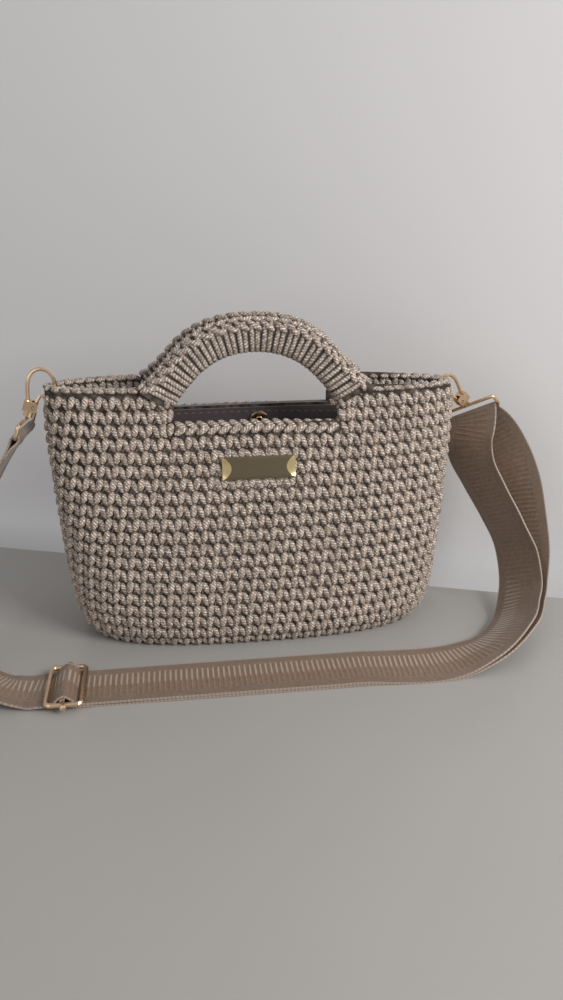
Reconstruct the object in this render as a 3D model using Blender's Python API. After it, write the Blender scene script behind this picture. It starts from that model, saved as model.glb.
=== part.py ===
"""Crocheted crossbody bag: tapered body of thick cord, two arched hand holds, felt lining, name plate,
magnetic snap, two swivel snap hooks with sprung gates, and a webbing strap with a slider.

Metres, +Z up. The origin is the middle of the flat base. The front faces -Y, and +X is the right side
as seen from the front. Lengths in the tables are shares of the named sizes beside them."""

import math

import bmesh
import bpy
from mathutils import Matrix, Vector

# Crocheted body
BAG_WIDTH = 0.283
RIM_HEIGHT = 0.183
BASE_DEPTH = 0.100
CROCHET_WALL = 0.0055
RIM_ROUNDING = 0.0015
RIGHT_RIM_DROP = 0.005
CLEARANCE = 0.0003

# Hand holds: an opening in each wall, and an arch over it
OPENING_WIDTH = 0.112
OPENING_FLOOR_DROP = 0.023
OPENING_FLOOR = RIM_HEIGHT - OPENING_FLOOR_DROP
ARCH_HEIGHT = 0.0663
HANDLE_DEPTH = 0.013
HANDLE_CROWN_SPACING = 0.019

# Lining, name plate and magnetic snap
LINING_DROP = 0.002
LINING_TOP = OPENING_FLOOR - LINING_DROP
LINING_THICKNESS = 0.0012
LINING_CLEARANCE = 0.0008
PLATE_LENGTH = 0.050
PLATE_HEIGHT = 0.0155
PLATE_THICKNESS = 0.0016
PLATE_EDGE_THICKNESS = 0.0009
PLATE_BEVEL_LENGTH = 0.006
PLATE_DROP = 0.0285
PLATE_CENTRE_HEIGHT = OPENING_FLOOR - PLATE_DROP
SNAP_DIAMETER = 0.014
SNAP_THICKNESS = 0.0022
SNAP_DROP = 0.0095
SNAP_HEIGHT = LINING_TOP - SNAP_DROP
SNAP_OFFSET = 0.006

# Swivel snap hooks
HOOK_REACH = 0.0126
HOOK_WIRE_RADIUS = 0.0013
HOOK_AXIS_LEAN = math.radians(20)
HOOK_BLOCK_LENGTH = 0.0064
HOOK_BLOCK_WIDTH = 0.0090
HOOK_BLOCK_DEPTH = 0.0070
HOOK_BARREL_RADIUS = 0.0032
HOOK_BARREL_LENGTH = 0.0040
HOOK_HOLE_CLEARANCE = 0.0004
GATE_RADIUS = 0.0011
GATE_FOOT_RADIUS = 0.0015
GATE_FOOT_WIDTH = 0.0030
GATE_PIN_RADIUS = 0.0009
GATE_SIDE_CLEARANCE = 0.00035
SWIVEL_STEM_RADIUS = 0.0015
SWIVEL_STEM_LENGTH = 0.0030
RING_WIRE_RADIUS = 0.0013
RING_INNER_HEIGHT = 0.0074
RING_CORNER_RADIUS = 0.0021
RIGHT_HOOK_TILT = math.radians(25)
RIGHT_HOOK_DROP = 0.0095
RIGHT_HOOK_SHIFT = 0.0005
LEFT_RING_SWIVEL = math.radians(8)
RIGHT_RING_SWIVEL = math.radians(139)

# Strap and slider
STRAP_WIDTH = 0.038
STRAP_THICKNESS = 0.0013
STRAP_EDGE_CLEARANCE = 0.0008
LAYER_GAP = 0.0004
STRAP_FRONT = 0.090
LOOP_SWING = 0.055
SEWN_FOLD = 0.016
SLIDER_X = -0.1345
SLIDER_LENGTH = 0.026
SLIDER_BAR_WIDTH = 0.0032
SLIDER_BAR_HEIGHT = 0.0030
SLIDER_CORNER_RADIUS = 0.0034
SLIDER_PIN_RADIUS = 0.0015
SLIDER_KNOB_RADIUS = 0.0024
SLIDER_KNOB_REACH = 0.0035

# Mesh fineness
AROUND_BODY = 60
AROUND_LINING = AROUND_BODY
WIRE_SIDES = 8
PIN_SIDES = 10
STRAP_STEP = 0.008

# Body sections from base to rim. Height is a share of RIM_HEIGHT, width of BAG_WIDTH and depth of
# BASE_DEPTH. Left and right give how square each end of the section is: 2 is an ellipse.
BODY_SECTIONS = (
    # height, width, depth, left, right
    (0.00, 0.800, 0.76, 2.7, 2.7),
    (0.03, 0.868, 0.91, 2.7, 2.7),
    (0.09, 0.912, 0.99, 2.7, 2.7),
    (0.20, 0.940, 1.00, 2.8, 2.7),
    (0.35, 0.958, 0.94, 2.9, 2.7),
    (0.55, 0.976, 0.81, 3.0, 2.7),
    (0.80, 0.995, 0.59, 3.1, 2.8),
    (1.00, 1.000, 0.435, 3.2, 2.8),
)
OUTER_HEIGHTS = (0.0, 0.012, 0.03, 0.06, 0.11, 0.19, 0.32, 0.47, 0.63, 0.78, 0.90)
INNER_HEIGHTS = (0.06, 0.11, 0.19, 0.32, 0.47, 0.63, 0.78, 0.8634, 0.94)

# Arch sections from the seat beside the opening to the crown. The x values are shares of half of
# OPENING_WIDTH, the z values shares of ARCH_HEIGHT above the opening's floor. Lean is how far the
# section has moved from the wall towards the crown's own place.
ARCH_SECTIONS = (
    # inner x, inner z, outer x, outer z, lean
    (1.000, 0.150, 1.393, 0.352, 0.00),
    (0.955, 0.215, 1.320, 0.400, 0.04),
    (0.880, 0.300, 1.205, 0.480, 0.14),
    (0.785, 0.390, 1.075, 0.590, 0.30),
    (0.640, 0.510, 0.875, 0.770, 0.55),
    (0.465, 0.605, 0.625, 0.905, 0.80),
    (0.240, 0.670, 0.320, 0.980, 0.95),
    (0.000, 0.690, 0.000, 1.000, 1.00),
)
ARCH_STEPS = 2

# The hook's wire in its own plane, from the block over the rim to the nose that comes back out through
# the wall. Out is away from the bag, up is above the rim, both as shares of HOOK_REACH.
HOOK_WIRE = (
    # out, up
    (0.92, -0.86),
    (0.90, -0.32),
    (0.87, 0.02),
    (0.76, 0.50),
    (0.49, 0.87),
    (0.12, 1.00),
    (-0.24, 0.88),
    (-0.50, 0.54),
    (-0.59, 0.12),
    (-0.56, -0.22),
    (-0.39, -0.43),
    (-0.12, -0.485),
    (0.15, -0.485),
)
HOOK_WIRE_STEP = 0.0022
HOOK_BLOCK_START = (0.90, -0.72)
GATE_TIP_GAP = 0.0003


def clear_scene():
    """Removes every object that is in the scene."""
    for old in list(bpy.data.objects):
        bpy.data.objects.remove(old, do_unlink=True)


def principled(name, colour, roughness, metallic=0.0):
    """A material with one Principled shader."""
    material = bpy.data.materials.new(name)
    material.use_nodes = True
    shader = material.node_tree.nodes["Principled BSDF"]
    shader.inputs["Base Color"].default_value = (*colour, 1.0)
    shader.inputs["Roughness"].default_value = roughness
    shader.inputs["Metallic"].default_value = metallic
    return material


def steady_value(rows, column, share):
    """Reads a table's column at a share of its first column, smooth and without overshoot."""
    knots = [row[0] for row in rows]
    values = [row[column] for row in rows]
    share = min(max(share, knots[0]), knots[-1])
    slopes = [(values[i + 1] - values[i]) / (knots[i + 1] - knots[i]) for i in range(len(rows) - 1)]
    tangents = [slopes[0]]
    for before, after in zip(slopes, slopes[1:]):
        same_way = before * after > 0
        tangents.append(2 * before * after / (before + after) if same_way else 0.0)
    tangents.append(slopes[-1])
    i = max(k for k in range(len(rows) - 1) if knots[k] <= share)
    width = knots[i + 1] - knots[i]
    t = (share - knots[i]) / width
    return (
        values[i] * (2 * t**3 - 3 * t**2 + 1)
        + width * tangents[i] * (t**3 - 2 * t**2 + t)
        + values[i + 1] * (3 * t**2 - 2 * t**3)
        + width * tangents[i + 1] * (t**3 - t**2)
    )


def smooth_route(points, step):
    """Points about a step apart on one smooth curve through the route's own points. Each point may be
    longer than three numbers: what follows the place is carried along with it."""
    gaps = [math.dist(a[:3], b[:3]) for a, b in zip(points, points[1:])]
    size = len(points[0])
    slopes = [[(b[k] - a[k]) / gap for k in range(size)] for a, b, gap in zip(points, points[1:], gaps)]
    tangents = [slopes[0]]
    for i in range(1, len(points) - 1):
        near, far = gaps[i - 1], gaps[i]
        tangents.append(
            [(slopes[i - 1][k] * far + slopes[i][k] * near) / (near + far) for k in range(size)]
        )
    tangents.append(slopes[-1])
    route = []
    for i, gap in enumerate(gaps):
        count = max(1, round(gap / step))
        for j in range(count):
            t = j / count
            route.append(
                [
                    points[i][k] * (2 * t**3 - 3 * t**2 + 1)
                    + gap * tangents[i][k] * (t**3 - 2 * t**2 + t)
                    + points[i + 1][k] * (3 * t**2 - 2 * t**3)
                    + gap * tangents[i + 1][k] * (t**3 - t**2)
                    for k in range(size)
                ]
            )
    route.append(list(points[-1]))
    return route


def add_object(name, bm, material, origin=(0, 0, 0), smooth_degrees=35):
    """Makes an object of a closed mesh, with its origin at the point given."""
    bmesh.ops.recalc_face_normals(bm, faces=bm.faces)
    bmesh.ops.translate(bm, verts=bm.verts, vec=-Vector(origin))
    mesh = bpy.data.meshes.new(name)
    bm.to_mesh(mesh)
    bm.free()
    mesh.shade_smooth()
    mesh.set_sharp_from_angle(angle=math.radians(smooth_degrees))
    mesh.materials.append(material)
    made = bpy.data.objects.new(name, mesh)
    made.location = origin
    bpy.context.collection.objects.link(made)
    return made


def loft(rings, closed=False):
    """A closed mesh over rings of equal size, with flat ends unless the rings join up."""
    bm = bmesh.new()
    made = [[bm.verts.new(point) for point in ring] for ring in rings]
    count = len(made[0])
    pairs = list(zip(made, made[1:]))
    if closed:
        pairs.append((made[-1], made[0]))
    for low, high in pairs:
        for i in range(count):
            j = (i + 1) % count
            bm.faces.new((low[i], low[j], high[j], high[i]))
    if not closed:
        bm.faces.new(made[0])
        bm.faces.new(list(reversed(made[-1])))
    return bm


def tube(points, radius, sides, closed=False):
    """A round bar along points, with its sides carried along so that they don't twist."""
    points = [Vector(point) for point in points]
    last = len(points) - 1
    side = None
    rings = []
    for i, point in enumerate(points):
        if closed:
            along = points[(i + 1) % len(points)] - points[i - 1]
        else:
            along = points[min(i + 1, last)] - points[max(i - 1, 0)]
        along.normalize()
        if side is None:
            side = along.orthogonal()
        side = (side - along * side.dot(along)).normalized()
        other = along.cross(side)
        turn = 2 * math.pi / sides
        rings.append(
            [
                point + radius * (math.cos(turn * k) * side + math.sin(turn * k) * other)
                for k in range(sides)
            ]
        )
    return loft(rings, closed)


def box(centre, axes, halves):
    """A box about a centre, along three axes, with half its size along each."""
    bm = bmesh.new()
    bmesh.ops.create_cube(bm, size=2.0)
    turn = Matrix([axis * half for axis, half in zip(axes, halves)]).transposed().to_4x4()
    bmesh.ops.transform(bm, matrix=Matrix.Translation(centre) @ turn, verts=bm.verts)
    return bm


def combine(target, bm, operation, name):
    """Adds a hidden tool shape, and the Boolean that joins it to the target or cuts it away."""
    bmesh.ops.recalc_face_normals(bm, faces=bm.faces)
    mesh = bpy.data.meshes.new(name)
    bm.to_mesh(mesh)
    bm.free()
    tool = bpy.data.objects.new(name, mesh)
    bpy.context.collection.objects.link(tool)
    tool.hide_render = True
    tool.display_type = "WIRE"
    modifier = target.modifiers.new(name, "BOOLEAN")
    modifier.operation = operation
    modifier.object = tool


def body_section(height, inset):
    """Half width, half depth and the squareness of both ends at a height share, set in by a length."""
    half_width = steady_value(BODY_SECTIONS, 1, height) * BAG_WIDTH / 2 - inset
    half_depth = steady_value(BODY_SECTIONS, 2, height) * BASE_DEPTH / 2 - inset
    left = steady_value(BODY_SECTIONS, 3, height)
    right = steady_value(BODY_SECTIONS, 4, height)
    return half_width, half_depth, left, right


def rim_drop(x, height):
    """How much lower the wall stands towards the right end, where the strap pulls on the rim."""
    along = max(0.0, x / (BAG_WIDTH / 2))
    return RIGHT_RIM_DROP * along**3 * height**4


def outline_point(height, angle, inset, lift=0.0):
    """A point of the body's outline at a height share and an angle, set in by a length."""
    half_width, half_depth, left, right = body_section(height, inset)
    across, back = math.cos(angle), math.sin(angle)
    square = 2 / (right if across >= 0 else left)
    x = math.copysign(half_width * abs(across) ** square, across)
    y = math.copysign(half_depth * abs(back) ** square, back)
    return Vector((x, y, RIM_HEIGHT * height + lift - rim_drop(x, height)))


def outline_angles(count):
    """Angles that spread points round the rim, closer together at its two ends."""
    fine = 720
    angles = [2 * math.pi * k / fine for k in range(fine + 1)]
    points = [outline_point(1.0, angle, 0.0) for angle in angles]
    total = sum((b - a).length for a, b in zip(points, points[1:]))
    passed = 0.0
    measure = [0.0]
    for k in range(fine):
        passed += (points[k + 1] - points[k]).length
        measure.append(0.5 * passed / total + 0.5 * (k + 1) / fine)
    chosen = []
    k = 0
    for i in range(count):
        while measure[k + 1] <= i / count:
            k += 1
        part = (i / count - measure[k]) / (measure[k + 1] - measure[k])
        chosen.append(angles[k] + part * (angles[k + 1] - angles[k]))
    return chosen


def body_ring(height, inset, angles, lift=0.0):
    """One ring of the body, lining or rim."""
    return [outline_point(height, angle, inset, lift) for angle in angles]


def wall_point(x, z, inset, side):
    """The point of the front (side -1) or back (side 1) wall at x and z, and the way it faces."""

    def on_wall(at_x, at_z):
        half_width, half_depth, left, right = body_section(at_z / RIM_HEIGHT, inset)
        square = right if at_x >= 0 else left
        y = half_depth * (1 - abs(at_x / half_width) ** square) ** (1 / square)
        return Vector((at_x, side * y, at_z))

    point = on_wall(x, z)
    small = 0.002
    across = on_wall(x + small, z) - on_wall(x - small, z)
    upward = on_wall(x, z + small) - on_wall(x, z - small)
    facing = upward.cross(across) * side * -1
    if facing.y * side < 0:
        facing.negate()
    return point, facing.normalized()


def seat_points():
    """Inner and outer ends of the left arch seat, as (x, z)."""
    inner_x, inner_z, outer_x, outer_z, _ = ARCH_SECTIONS[0]
    half = OPENING_WIDTH / 2
    inner = Vector((-inner_x * half, OPENING_FLOOR + inner_z * ARCH_HEIGHT))
    outer = Vector((-outer_x * half, OPENING_FLOOR + outer_z * ARCH_HEIGHT))
    return inner, outer


def opening_cutter(side):
    """The prism that cuts the hand opening and the arch's two seats out of one wall."""
    inner, outer = seat_points()
    along = (outer - inner).normalized()
    away = Vector((along.y, -along.x)) if along.x * along.y > 0 else Vector((-along.y, along.x))
    if away.y > 0:
        away.negate()
    low = inner + away * CLEARANCE
    high = outer + away * CLEARANCE + along * HANDLE_DEPTH
    # The seat line, carried down to the opening's own side.
    meet = low - along * ((low.x + OPENING_WIDTH / 2) / along.x)
    left = [Vector((-OPENING_WIDTH / 2, OPENING_FLOOR)), meet, high]
    right = [Vector((-point.x, point.y)) for point in reversed(left)]
    outline = left + right
    deep = side * BASE_DEPTH
    return loft([[(p.x, 0.0, p.y) for p in outline], [(p.x, deep, p.y) for p in outline]])


def make_body(material):
    """The crocheted shell: outer wall, rounded rim, inner wall and floor, with both hand openings."""
    angles = outline_angles(AROUND_BODY)
    rings = [body_ring(height, 0.0, angles) for height in OUTER_HEIGHTS]
    for inset in (0.0, RIM_ROUNDING, CROCHET_WALL - RIM_ROUNDING, CROCHET_WALL):
        rounding = -RIM_ROUNDING if inset in (0.0, CROCHET_WALL) else 0.0
        rings.append(body_ring(1.0, inset, angles, rounding))
    rings += [body_ring(height, CROCHET_WALL, angles) for height in reversed(INNER_HEIGHTS)]
    rings.append(body_ring(CROCHET_WALL / RIM_HEIGHT, CROCHET_WALL, angles))
    body = add_object("bag_body", loft(rings), material)
    combine(body, opening_cutter(-1), "DIFFERENCE", "front_opening_cutter")
    combine(body, opening_cutter(1), "DIFFERENCE", "back_opening_cutter")
    return body


def make_lining(material):
    """The felt lining: a thin open cup that stands inside the crocheted shell."""
    angles = outline_angles(AROUND_LINING)
    outer = CROCHET_WALL + LINING_CLEARANCE
    inner = outer + LINING_THICKNESS
    top = LINING_TOP / RIM_HEIGHT
    heights = [height for height in INNER_HEIGHTS if height < top - 0.01] + [top]
    floor_outside = (CROCHET_WALL + CLEARANCE) / RIM_HEIGHT
    floor_inside = floor_outside + LINING_THICKNESS / RIM_HEIGHT
    rings = [body_ring(floor_outside, outer, angles)]
    rings += [body_ring(height, outer, angles) for height in heights]
    rings += [body_ring(height, inner, angles) for height in reversed(heights)]
    rings.append(body_ring(floor_inside, inner, angles))
    return add_object("lining", loft(rings), material)


def arch_rows():
    """The arch's sections from the left seat over the crown to the right seat."""
    left = [[-row[0], row[1], -row[2], row[3], row[4]] for row in ARCH_SECTIONS]
    right = [list(row) for row in reversed(ARCH_SECTIONS[:-1])]
    return left + right


def make_handle(name, side, material):
    """One arched hand hold: wound cord over a core, thicker at its two seats."""
    half = OPENING_WIDTH / 2
    # Middle of the section first, so that the curve's steps follow the arch.
    points = []
    for inner_x, inner_z, outer_x, outer_z, lean in arch_rows():
        middle = Vector(((inner_x + outer_x) / 2 * half, 0, (inner_z + outer_z) / 2 * ARCH_HEIGHT))
        reach = Vector(((outer_x - inner_x) / 2 * half, 0, (outer_z - inner_z) / 2 * ARCH_HEIGHT))
        points.append([*middle, *reach, lean])
    spacing = sum(math.dist(a[:3], b[:3]) for a, b in zip(points, points[1:])) / (len(points) - 1)
    corners = 12
    square = 2 / 3.2
    rings = []
    for x, _, z, reach_x, _, reach_z, lean in smooth_route(points, spacing / ARCH_STEPS):
        height = min(1.0, (OPENING_FLOOR + z) / RIM_HEIGHT)
        wall_middle = body_section(height, CROCHET_WALL / 2)[1]
        wall_y = wall_middle * (1 - abs(x / (BAG_WIDTH / 2)) ** 3) ** (1 / 3)
        y = side * (wall_y * (1 - lean) + HANDLE_CROWN_SPACING / 2 * lean)
        middle = Vector((x, y, OPENING_FLOOR + z))
        ring = []
        for k in range(corners):
            angle = 2 * math.pi * (k + 0.5) / corners
            up = math.copysign(abs(math.sin(angle)) ** square, math.sin(angle))
            across = math.copysign(abs(math.cos(angle)) ** square, math.cos(angle))
            reach = Vector((reach_x, 0, reach_z))
            ring.append(middle + reach * up + Vector((0, HANDLE_DEPTH / 2 * across, 0)))
        rings.append(ring)
    return add_object(name, loft(rings), material)


def make_plate(material):
    """The bare metal name plate: flat in the middle, with ends that slope back to thinner edges."""
    centre, facing = wall_point(0.0, PLATE_CENTRE_HEIGHT, 0.0, -1)
    across = Vector((1, 0, 0))
    up = facing.cross(across).normalized()
    if up.z < 0:
        up.negate()
    half = PLATE_LENGTH / 2
    rings = []
    for x, thick in (
        (-half, PLATE_EDGE_THICKNESS),
        (-half + PLATE_BEVEL_LENGTH, PLATE_THICKNESS),
        (half - PLATE_BEVEL_LENGTH, PLATE_THICKNESS),
        (half, PLATE_EDGE_THICKNESS),
    ):
        low, high = -PLATE_HEIGHT / 2, PLATE_HEIGHT / 2
        soft = PLATE_EDGE_THICKNESS / 2
        corners = (
            (low, 0.0),
            (high, 0.0),
            (high, thick - soft),
            (high - soft, thick),
            (low + soft, thick),
            (low, thick - soft),
        )
        back = centre + facing * CLEARANCE
        rings.append([back + across * x + up * v + facing * depth for v, depth in corners])
    return add_object("name_plate", loft(rings), material)


def make_snap(name, side, raised, material):
    """One half of the magnetic snap, flat on the lining: a dished disc with a stud or a socket."""
    inset = CROCHET_WALL + LINING_CLEARANCE + LINING_THICKNESS
    centre, outward = wall_point(SNAP_OFFSET, SNAP_HEIGHT, inset, side)
    facing = -outward
    across = Vector((1, 0, 0))
    up = facing.cross(across).normalized()
    radius = SNAP_DIAMETER / 2
    stud = radius * 0.42
    step = SNAP_THICKNESS * 0.5 * raised
    profile = (
        (radius * 0.97, 0.0),
        (radius, SNAP_THICKNESS * 0.35),
        (radius * 0.9, SNAP_THICKNESS * 0.8),
        (radius * 0.72, SNAP_THICKNESS),
        (stud * 1.1, SNAP_THICKNESS * 0.9),
        (stud, SNAP_THICKNESS * 0.9 + step),
        (stud * 0.5, SNAP_THICKNESS * 0.9 + step),
    )
    sides = 20
    rings = []
    for size, depth in profile:
        ring = []
        for k in range(sides):
            angle = 2 * math.pi * k / sides
            place = across * (size * math.cos(angle)) + up * (size * math.sin(angle))
            ring.append(centre + facing * (CLEARANCE + depth) + place)
        rings.append(ring)
    return add_object(name, loft(rings), material)


class Hook:
    """Places of one snap hook: where it crosses the wall, its plane, and its axis down to the ring."""

    def __init__(self, side, angle, tilt, shift, drop, swivel):
        self.side = side
        wall = outline_point(1.0, angle, 0.0)
        step = 0.01
        along = outline_point(1.0, angle + step, 0.0) - outline_point(1.0, angle - step, 0.0)
        self.out = Vector((along.y, -along.x, 0)).normalized()
        self.across = Vector((0, 0, 1)).cross(self.out)
        basis = Matrix((self.out, self.across, Vector((0, 0, 1)))).transposed().to_4x4()
        lean = Matrix.Rotation(-tilt, 4, "Y")
        move = Matrix.Translation(Vector((shift, 0, -drop)))
        self.matrix = Matrix.Translation(wall) @ basis @ move @ lean
        start = Vector((HOOK_BLOCK_START[0], 0, HOOK_BLOCK_START[1])) * HOOK_REACH
        self.start = self.matrix @ start
        turn = self.matrix.to_3x3()
        sine, cosine = math.sin(HOOK_AXIS_LEAN), math.cos(HOOK_AXIS_LEAN)
        self.axis = (turn @ Vector((sine, 0, -cosine))).normalized()
        self.inward = (turn @ Vector((-cosine, 0, -sine))).normalized()
        self.normal = (turn @ Vector((0, 1, 0))).normalized()
        swung = self.axis.cross(self.normal)
        self.bar = (math.cos(swivel) * self.normal + math.sin(swivel) * swung).normalized()
        self.ring_face = self.bar.cross(self.axis).normalized()
        barrel_end = HOOK_BLOCK_LENGTH + HOOK_BARREL_LENGTH
        self.barrel_in = HOOK_BLOCK_WIDTH / 2 - HOOK_WIRE_RADIUS * 1.8
        self.ring_top = barrel_end + CLEARANCE + RING_WIRE_RADIUS
        self.ring_bar = self.ring_top + RING_INNER_HEIGHT + 2 * RING_WIRE_RADIUS
        self.pivot = self.place(HOOK_BLOCK_LENGTH * 0.44, self.barrel_in * 2.0)

    def place(self, down, inward, aside=0.0):
        """A point at a length down the hook's axis, in towards the gate, and to one side."""
        return self.start + self.axis * down + self.inward * inward + self.normal * aside

    def wire(self, extra=0.0):
        """The bent wire's points, with the nose carried on by an extra length."""
        points = [self.matrix @ (Vector((out, 0, up)) * HOOK_REACH) for out, up in HOOK_WIRE]
        end = (points[-1] - points[-2]).normalized()
        if extra:
            points.append(points[-1] + end * extra)
        return [Vector(p) for p in smooth_route([list(p) for p in points], HOOK_WIRE_STEP)]

    def bar_centre(self):
        """The middle of the ring's lower bar, which the strap goes round."""
        return self.place(self.ring_bar, self.barrel_in)


def gate_tip(hook):
    """Middle of the gate's round tip, just off the nose."""
    points = hook.wire()
    end = (points[-1] - points[-2]).normalized()
    return points[-1] + end * (GATE_TIP_GAP + GATE_RADIUS)


def round_bar(start, end, radius, sides):
    """A straight round bar between two points."""
    return tube((start, end), radius, sides)


def make_hook(name, hook, material):
    """The hook's one-piece body: bent wire, hinge block with a slot for the gate, and swivel barrel."""
    made = add_object(name, tube(hook.wire(), HOOK_WIRE_RADIUS, WIRE_SIDES), material)
    axes = (hook.axis, hook.inward, hook.normal)
    top = HOOK_WIRE_RADIUS * 0.4
    middle = hook.place((HOOK_BLOCK_LENGTH - top) / 2, hook.barrel_in)
    halves = ((HOOK_BLOCK_LENGTH + top) / 2, HOOK_BLOCK_WIDTH / 2, HOOK_BLOCK_DEPTH / 2)
    combine(made, box(middle, axes, halves), "UNION", name + "_block")
    barrel_start = hook.place(HOOK_BLOCK_LENGTH * 0.9, hook.barrel_in)
    barrel_end = hook.place(HOOK_BLOCK_LENGTH + HOOK_BARREL_LENGTH, hook.barrel_in)
    barrel = round_bar(barrel_start, barrel_end, HOOK_BARREL_RADIUS, 12)
    combine(made, barrel, "UNION", name + "_barrel")
    # The slot is open towards the top and towards the gate's side.
    slot_half = GATE_FOOT_WIDTH / 2 + GATE_SIDE_CLEARANCE
    slot_end = GATE_FOOT_RADIUS + CLEARANCE
    slot_reach = HOOK_BLOCK_LENGTH
    slot_from = GATE_FOOT_RADIUS + CLEARANCE
    middle = hook.pivot + hook.axis * (slot_end - slot_reach) / 2
    middle += hook.inward * (slot_reach - slot_from) / 2
    halves = ((slot_end + slot_reach) / 2, (slot_reach + slot_from) / 2, slot_half)
    combine(made, box(middle, axes, halves), "DIFFERENCE", name + "_slot")
    reach = hook.normal * HOOK_BLOCK_DEPTH
    hole_radius = GATE_PIN_RADIUS + GATE_SIDE_CLEARANCE
    hole = round_bar(hook.pivot - reach, hook.pivot + reach, hole_radius, PIN_SIDES)
    combine(made, hole, "DIFFERENCE", name + "_pin_hole")
    bore_top = barrel_end - hook.axis * (SWIVEL_STEM_LENGTH + CLEARANCE)
    bore_radius = SWIVEL_STEM_RADIUS + GATE_SIDE_CLEARANCE
    bore = round_bar(bore_top, barrel_end + hook.axis * CLEARANCE * 2, bore_radius, PIN_SIDES)
    combine(made, bore, "DIFFERENCE", name + "_bore")
    return made


def make_gate(name, hook, material):
    """The sprung gate: a bar that closes on the nose, its foot in the slot and its hinge pin."""
    foot_half = hook.normal * GATE_FOOT_WIDTH / 2
    foot = round_bar(hook.pivot - foot_half, hook.pivot + foot_half, GATE_FOOT_RADIUS, 12)
    made = add_object(name, foot, material, origin=hook.pivot)
    tip = gate_tip(hook)
    along = (tip - hook.pivot).normalized()
    points = [hook.pivot + along * GATE_FOOT_RADIUS * 0.2, tip - along * GATE_RADIUS * 0.3]
    bar = tube(points + [tip + along * GATE_RADIUS * 0.7], GATE_RADIUS, WIRE_SIDES)
    combine(made, bar, "UNION", name + "_bar")
    pin_half = hook.normal * HOOK_BLOCK_DEPTH / 2
    pin = round_bar(hook.pivot - pin_half, hook.pivot + pin_half, GATE_PIN_RADIUS, PIN_SIDES)
    combine(made, pin, "UNION", name + "_pin")
    return made


def rounded_loop(centre, across, along, half_across, half_along, radius, arc_steps):
    """Points round a rectangle with rounded corners."""
    corners = ((1, 1, 0), (-1, 1, 1), (-1, -1, 2), (1, -1, 3))
    points = []
    for right, up, quarter in corners:
        middle = centre + across * right * (half_across - radius) + along * up * (half_along - radius)
        for k in range(arc_steps + 1):
            angle = math.pi / 2 * (quarter + k / arc_steps)
            points.append(middle + radius * (math.cos(angle) * across + math.sin(angle) * along))
    return points


def make_ring(name, hook, material):
    """The swivel ring that holds the strap, with its stem up in the hook's barrel."""
    half_across = STRAP_WIDTH / 2 + STRAP_EDGE_CLEARANCE + RING_WIRE_RADIUS
    half_along = (hook.ring_bar - hook.ring_top) / 2
    centre = hook.place((hook.ring_bar + hook.ring_top) / 2, hook.barrel_in)
    loop = rounded_loop(centre, hook.bar, hook.axis, half_across, half_along, RING_CORNER_RADIUS, 3)
    made = add_object(name, tube(loop, RING_WIRE_RADIUS, WIRE_SIDES, closed=True), material)
    barrel_end = hook.place(HOOK_BLOCK_LENGTH + HOOK_BARREL_LENGTH, hook.barrel_in)
    stem_top = barrel_end - hook.axis * SWIVEL_STEM_LENGTH
    stem_end = hook.place(hook.ring_top, hook.barrel_in)
    stem = round_bar(stem_top, stem_end, SWIVEL_STEM_RADIUS, PIN_SIDES)
    combine(made, stem, "UNION", name + "_stem")
    return made


def layer_height(layer):
    """Height of the middle of a strap layer that lies on the table: 0 is the lowest."""
    return CLEARANCE + STRAP_THICKNESS / 2 + layer * (STRAP_THICKNESS + LAYER_GAP)


def slider_height():
    """Height of the slider's middle: its bars lie on the strap's two layers."""
    return layer_height(1) + STRAP_THICKNESS / 2 + CLEARANCE + SLIDER_BAR_HEIGHT / 2


def make_slider(material):
    """The slider: a rounded frame and a centre bar with a knob at each end, cast in one."""
    centre = Vector((SLIDER_X, -STRAP_FRONT, slider_height()))
    half_along = (SLIDER_LENGTH - SLIDER_BAR_WIDTH) / 2
    half_across = STRAP_WIDTH / 2 + STRAP_EDGE_CLEARANCE + SLIDER_BAR_WIDTH / 2
    x_axis, y_axis, z_axis = Vector((1, 0, 0)), Vector((0, 1, 0)), Vector((0, 0, 1))
    loop = rounded_loop(centre, x_axis, y_axis, half_along, half_across, SLIDER_CORNER_RADIUS, 4)
    rings = []
    for i, point in enumerate(loop):
        along = (loop[(i + 1) % len(loop)] - loop[i - 1]).normalized()
        outward = along.cross(z_axis)
        wide, tall = SLIDER_BAR_WIDTH / 2, SLIDER_BAR_HEIGHT / 2
        section = ((1, -0.4), (1, 0.4), (0.5, 1), (-0.5, 1), (-1, 0.4), (-1, -0.4), (-0.5, -1), (0.5, -1))
        rings.append([point + outward * wide * a + z_axis * tall * b for a, b in section])
    made = add_object("slider", loft(rings, closed=True), material)
    reach = half_across + SLIDER_BAR_WIDTH / 2 + SLIDER_KNOB_REACH
    pin = round_bar(centre - y_axis * reach * 0.95, centre + y_axis * reach * 0.95, SLIDER_PIN_RADIUS, 10)
    combine(made, pin, "UNION", "slider_pin")
    for side, name in ((-1, "slider_front_knob"), (1, "slider_back_knob")):
        knob = bmesh.new()
        bmesh.ops.create_uvsphere(knob, u_segments=10, v_segments=6, radius=SLIDER_KNOB_RADIUS)
        place = centre + y_axis * side * (reach - SLIDER_KNOB_RADIUS)
        bmesh.ops.translate(knob, verts=knob.verts, vec=place)
        combine(made, knob, "UNION", name)
    return made


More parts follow.
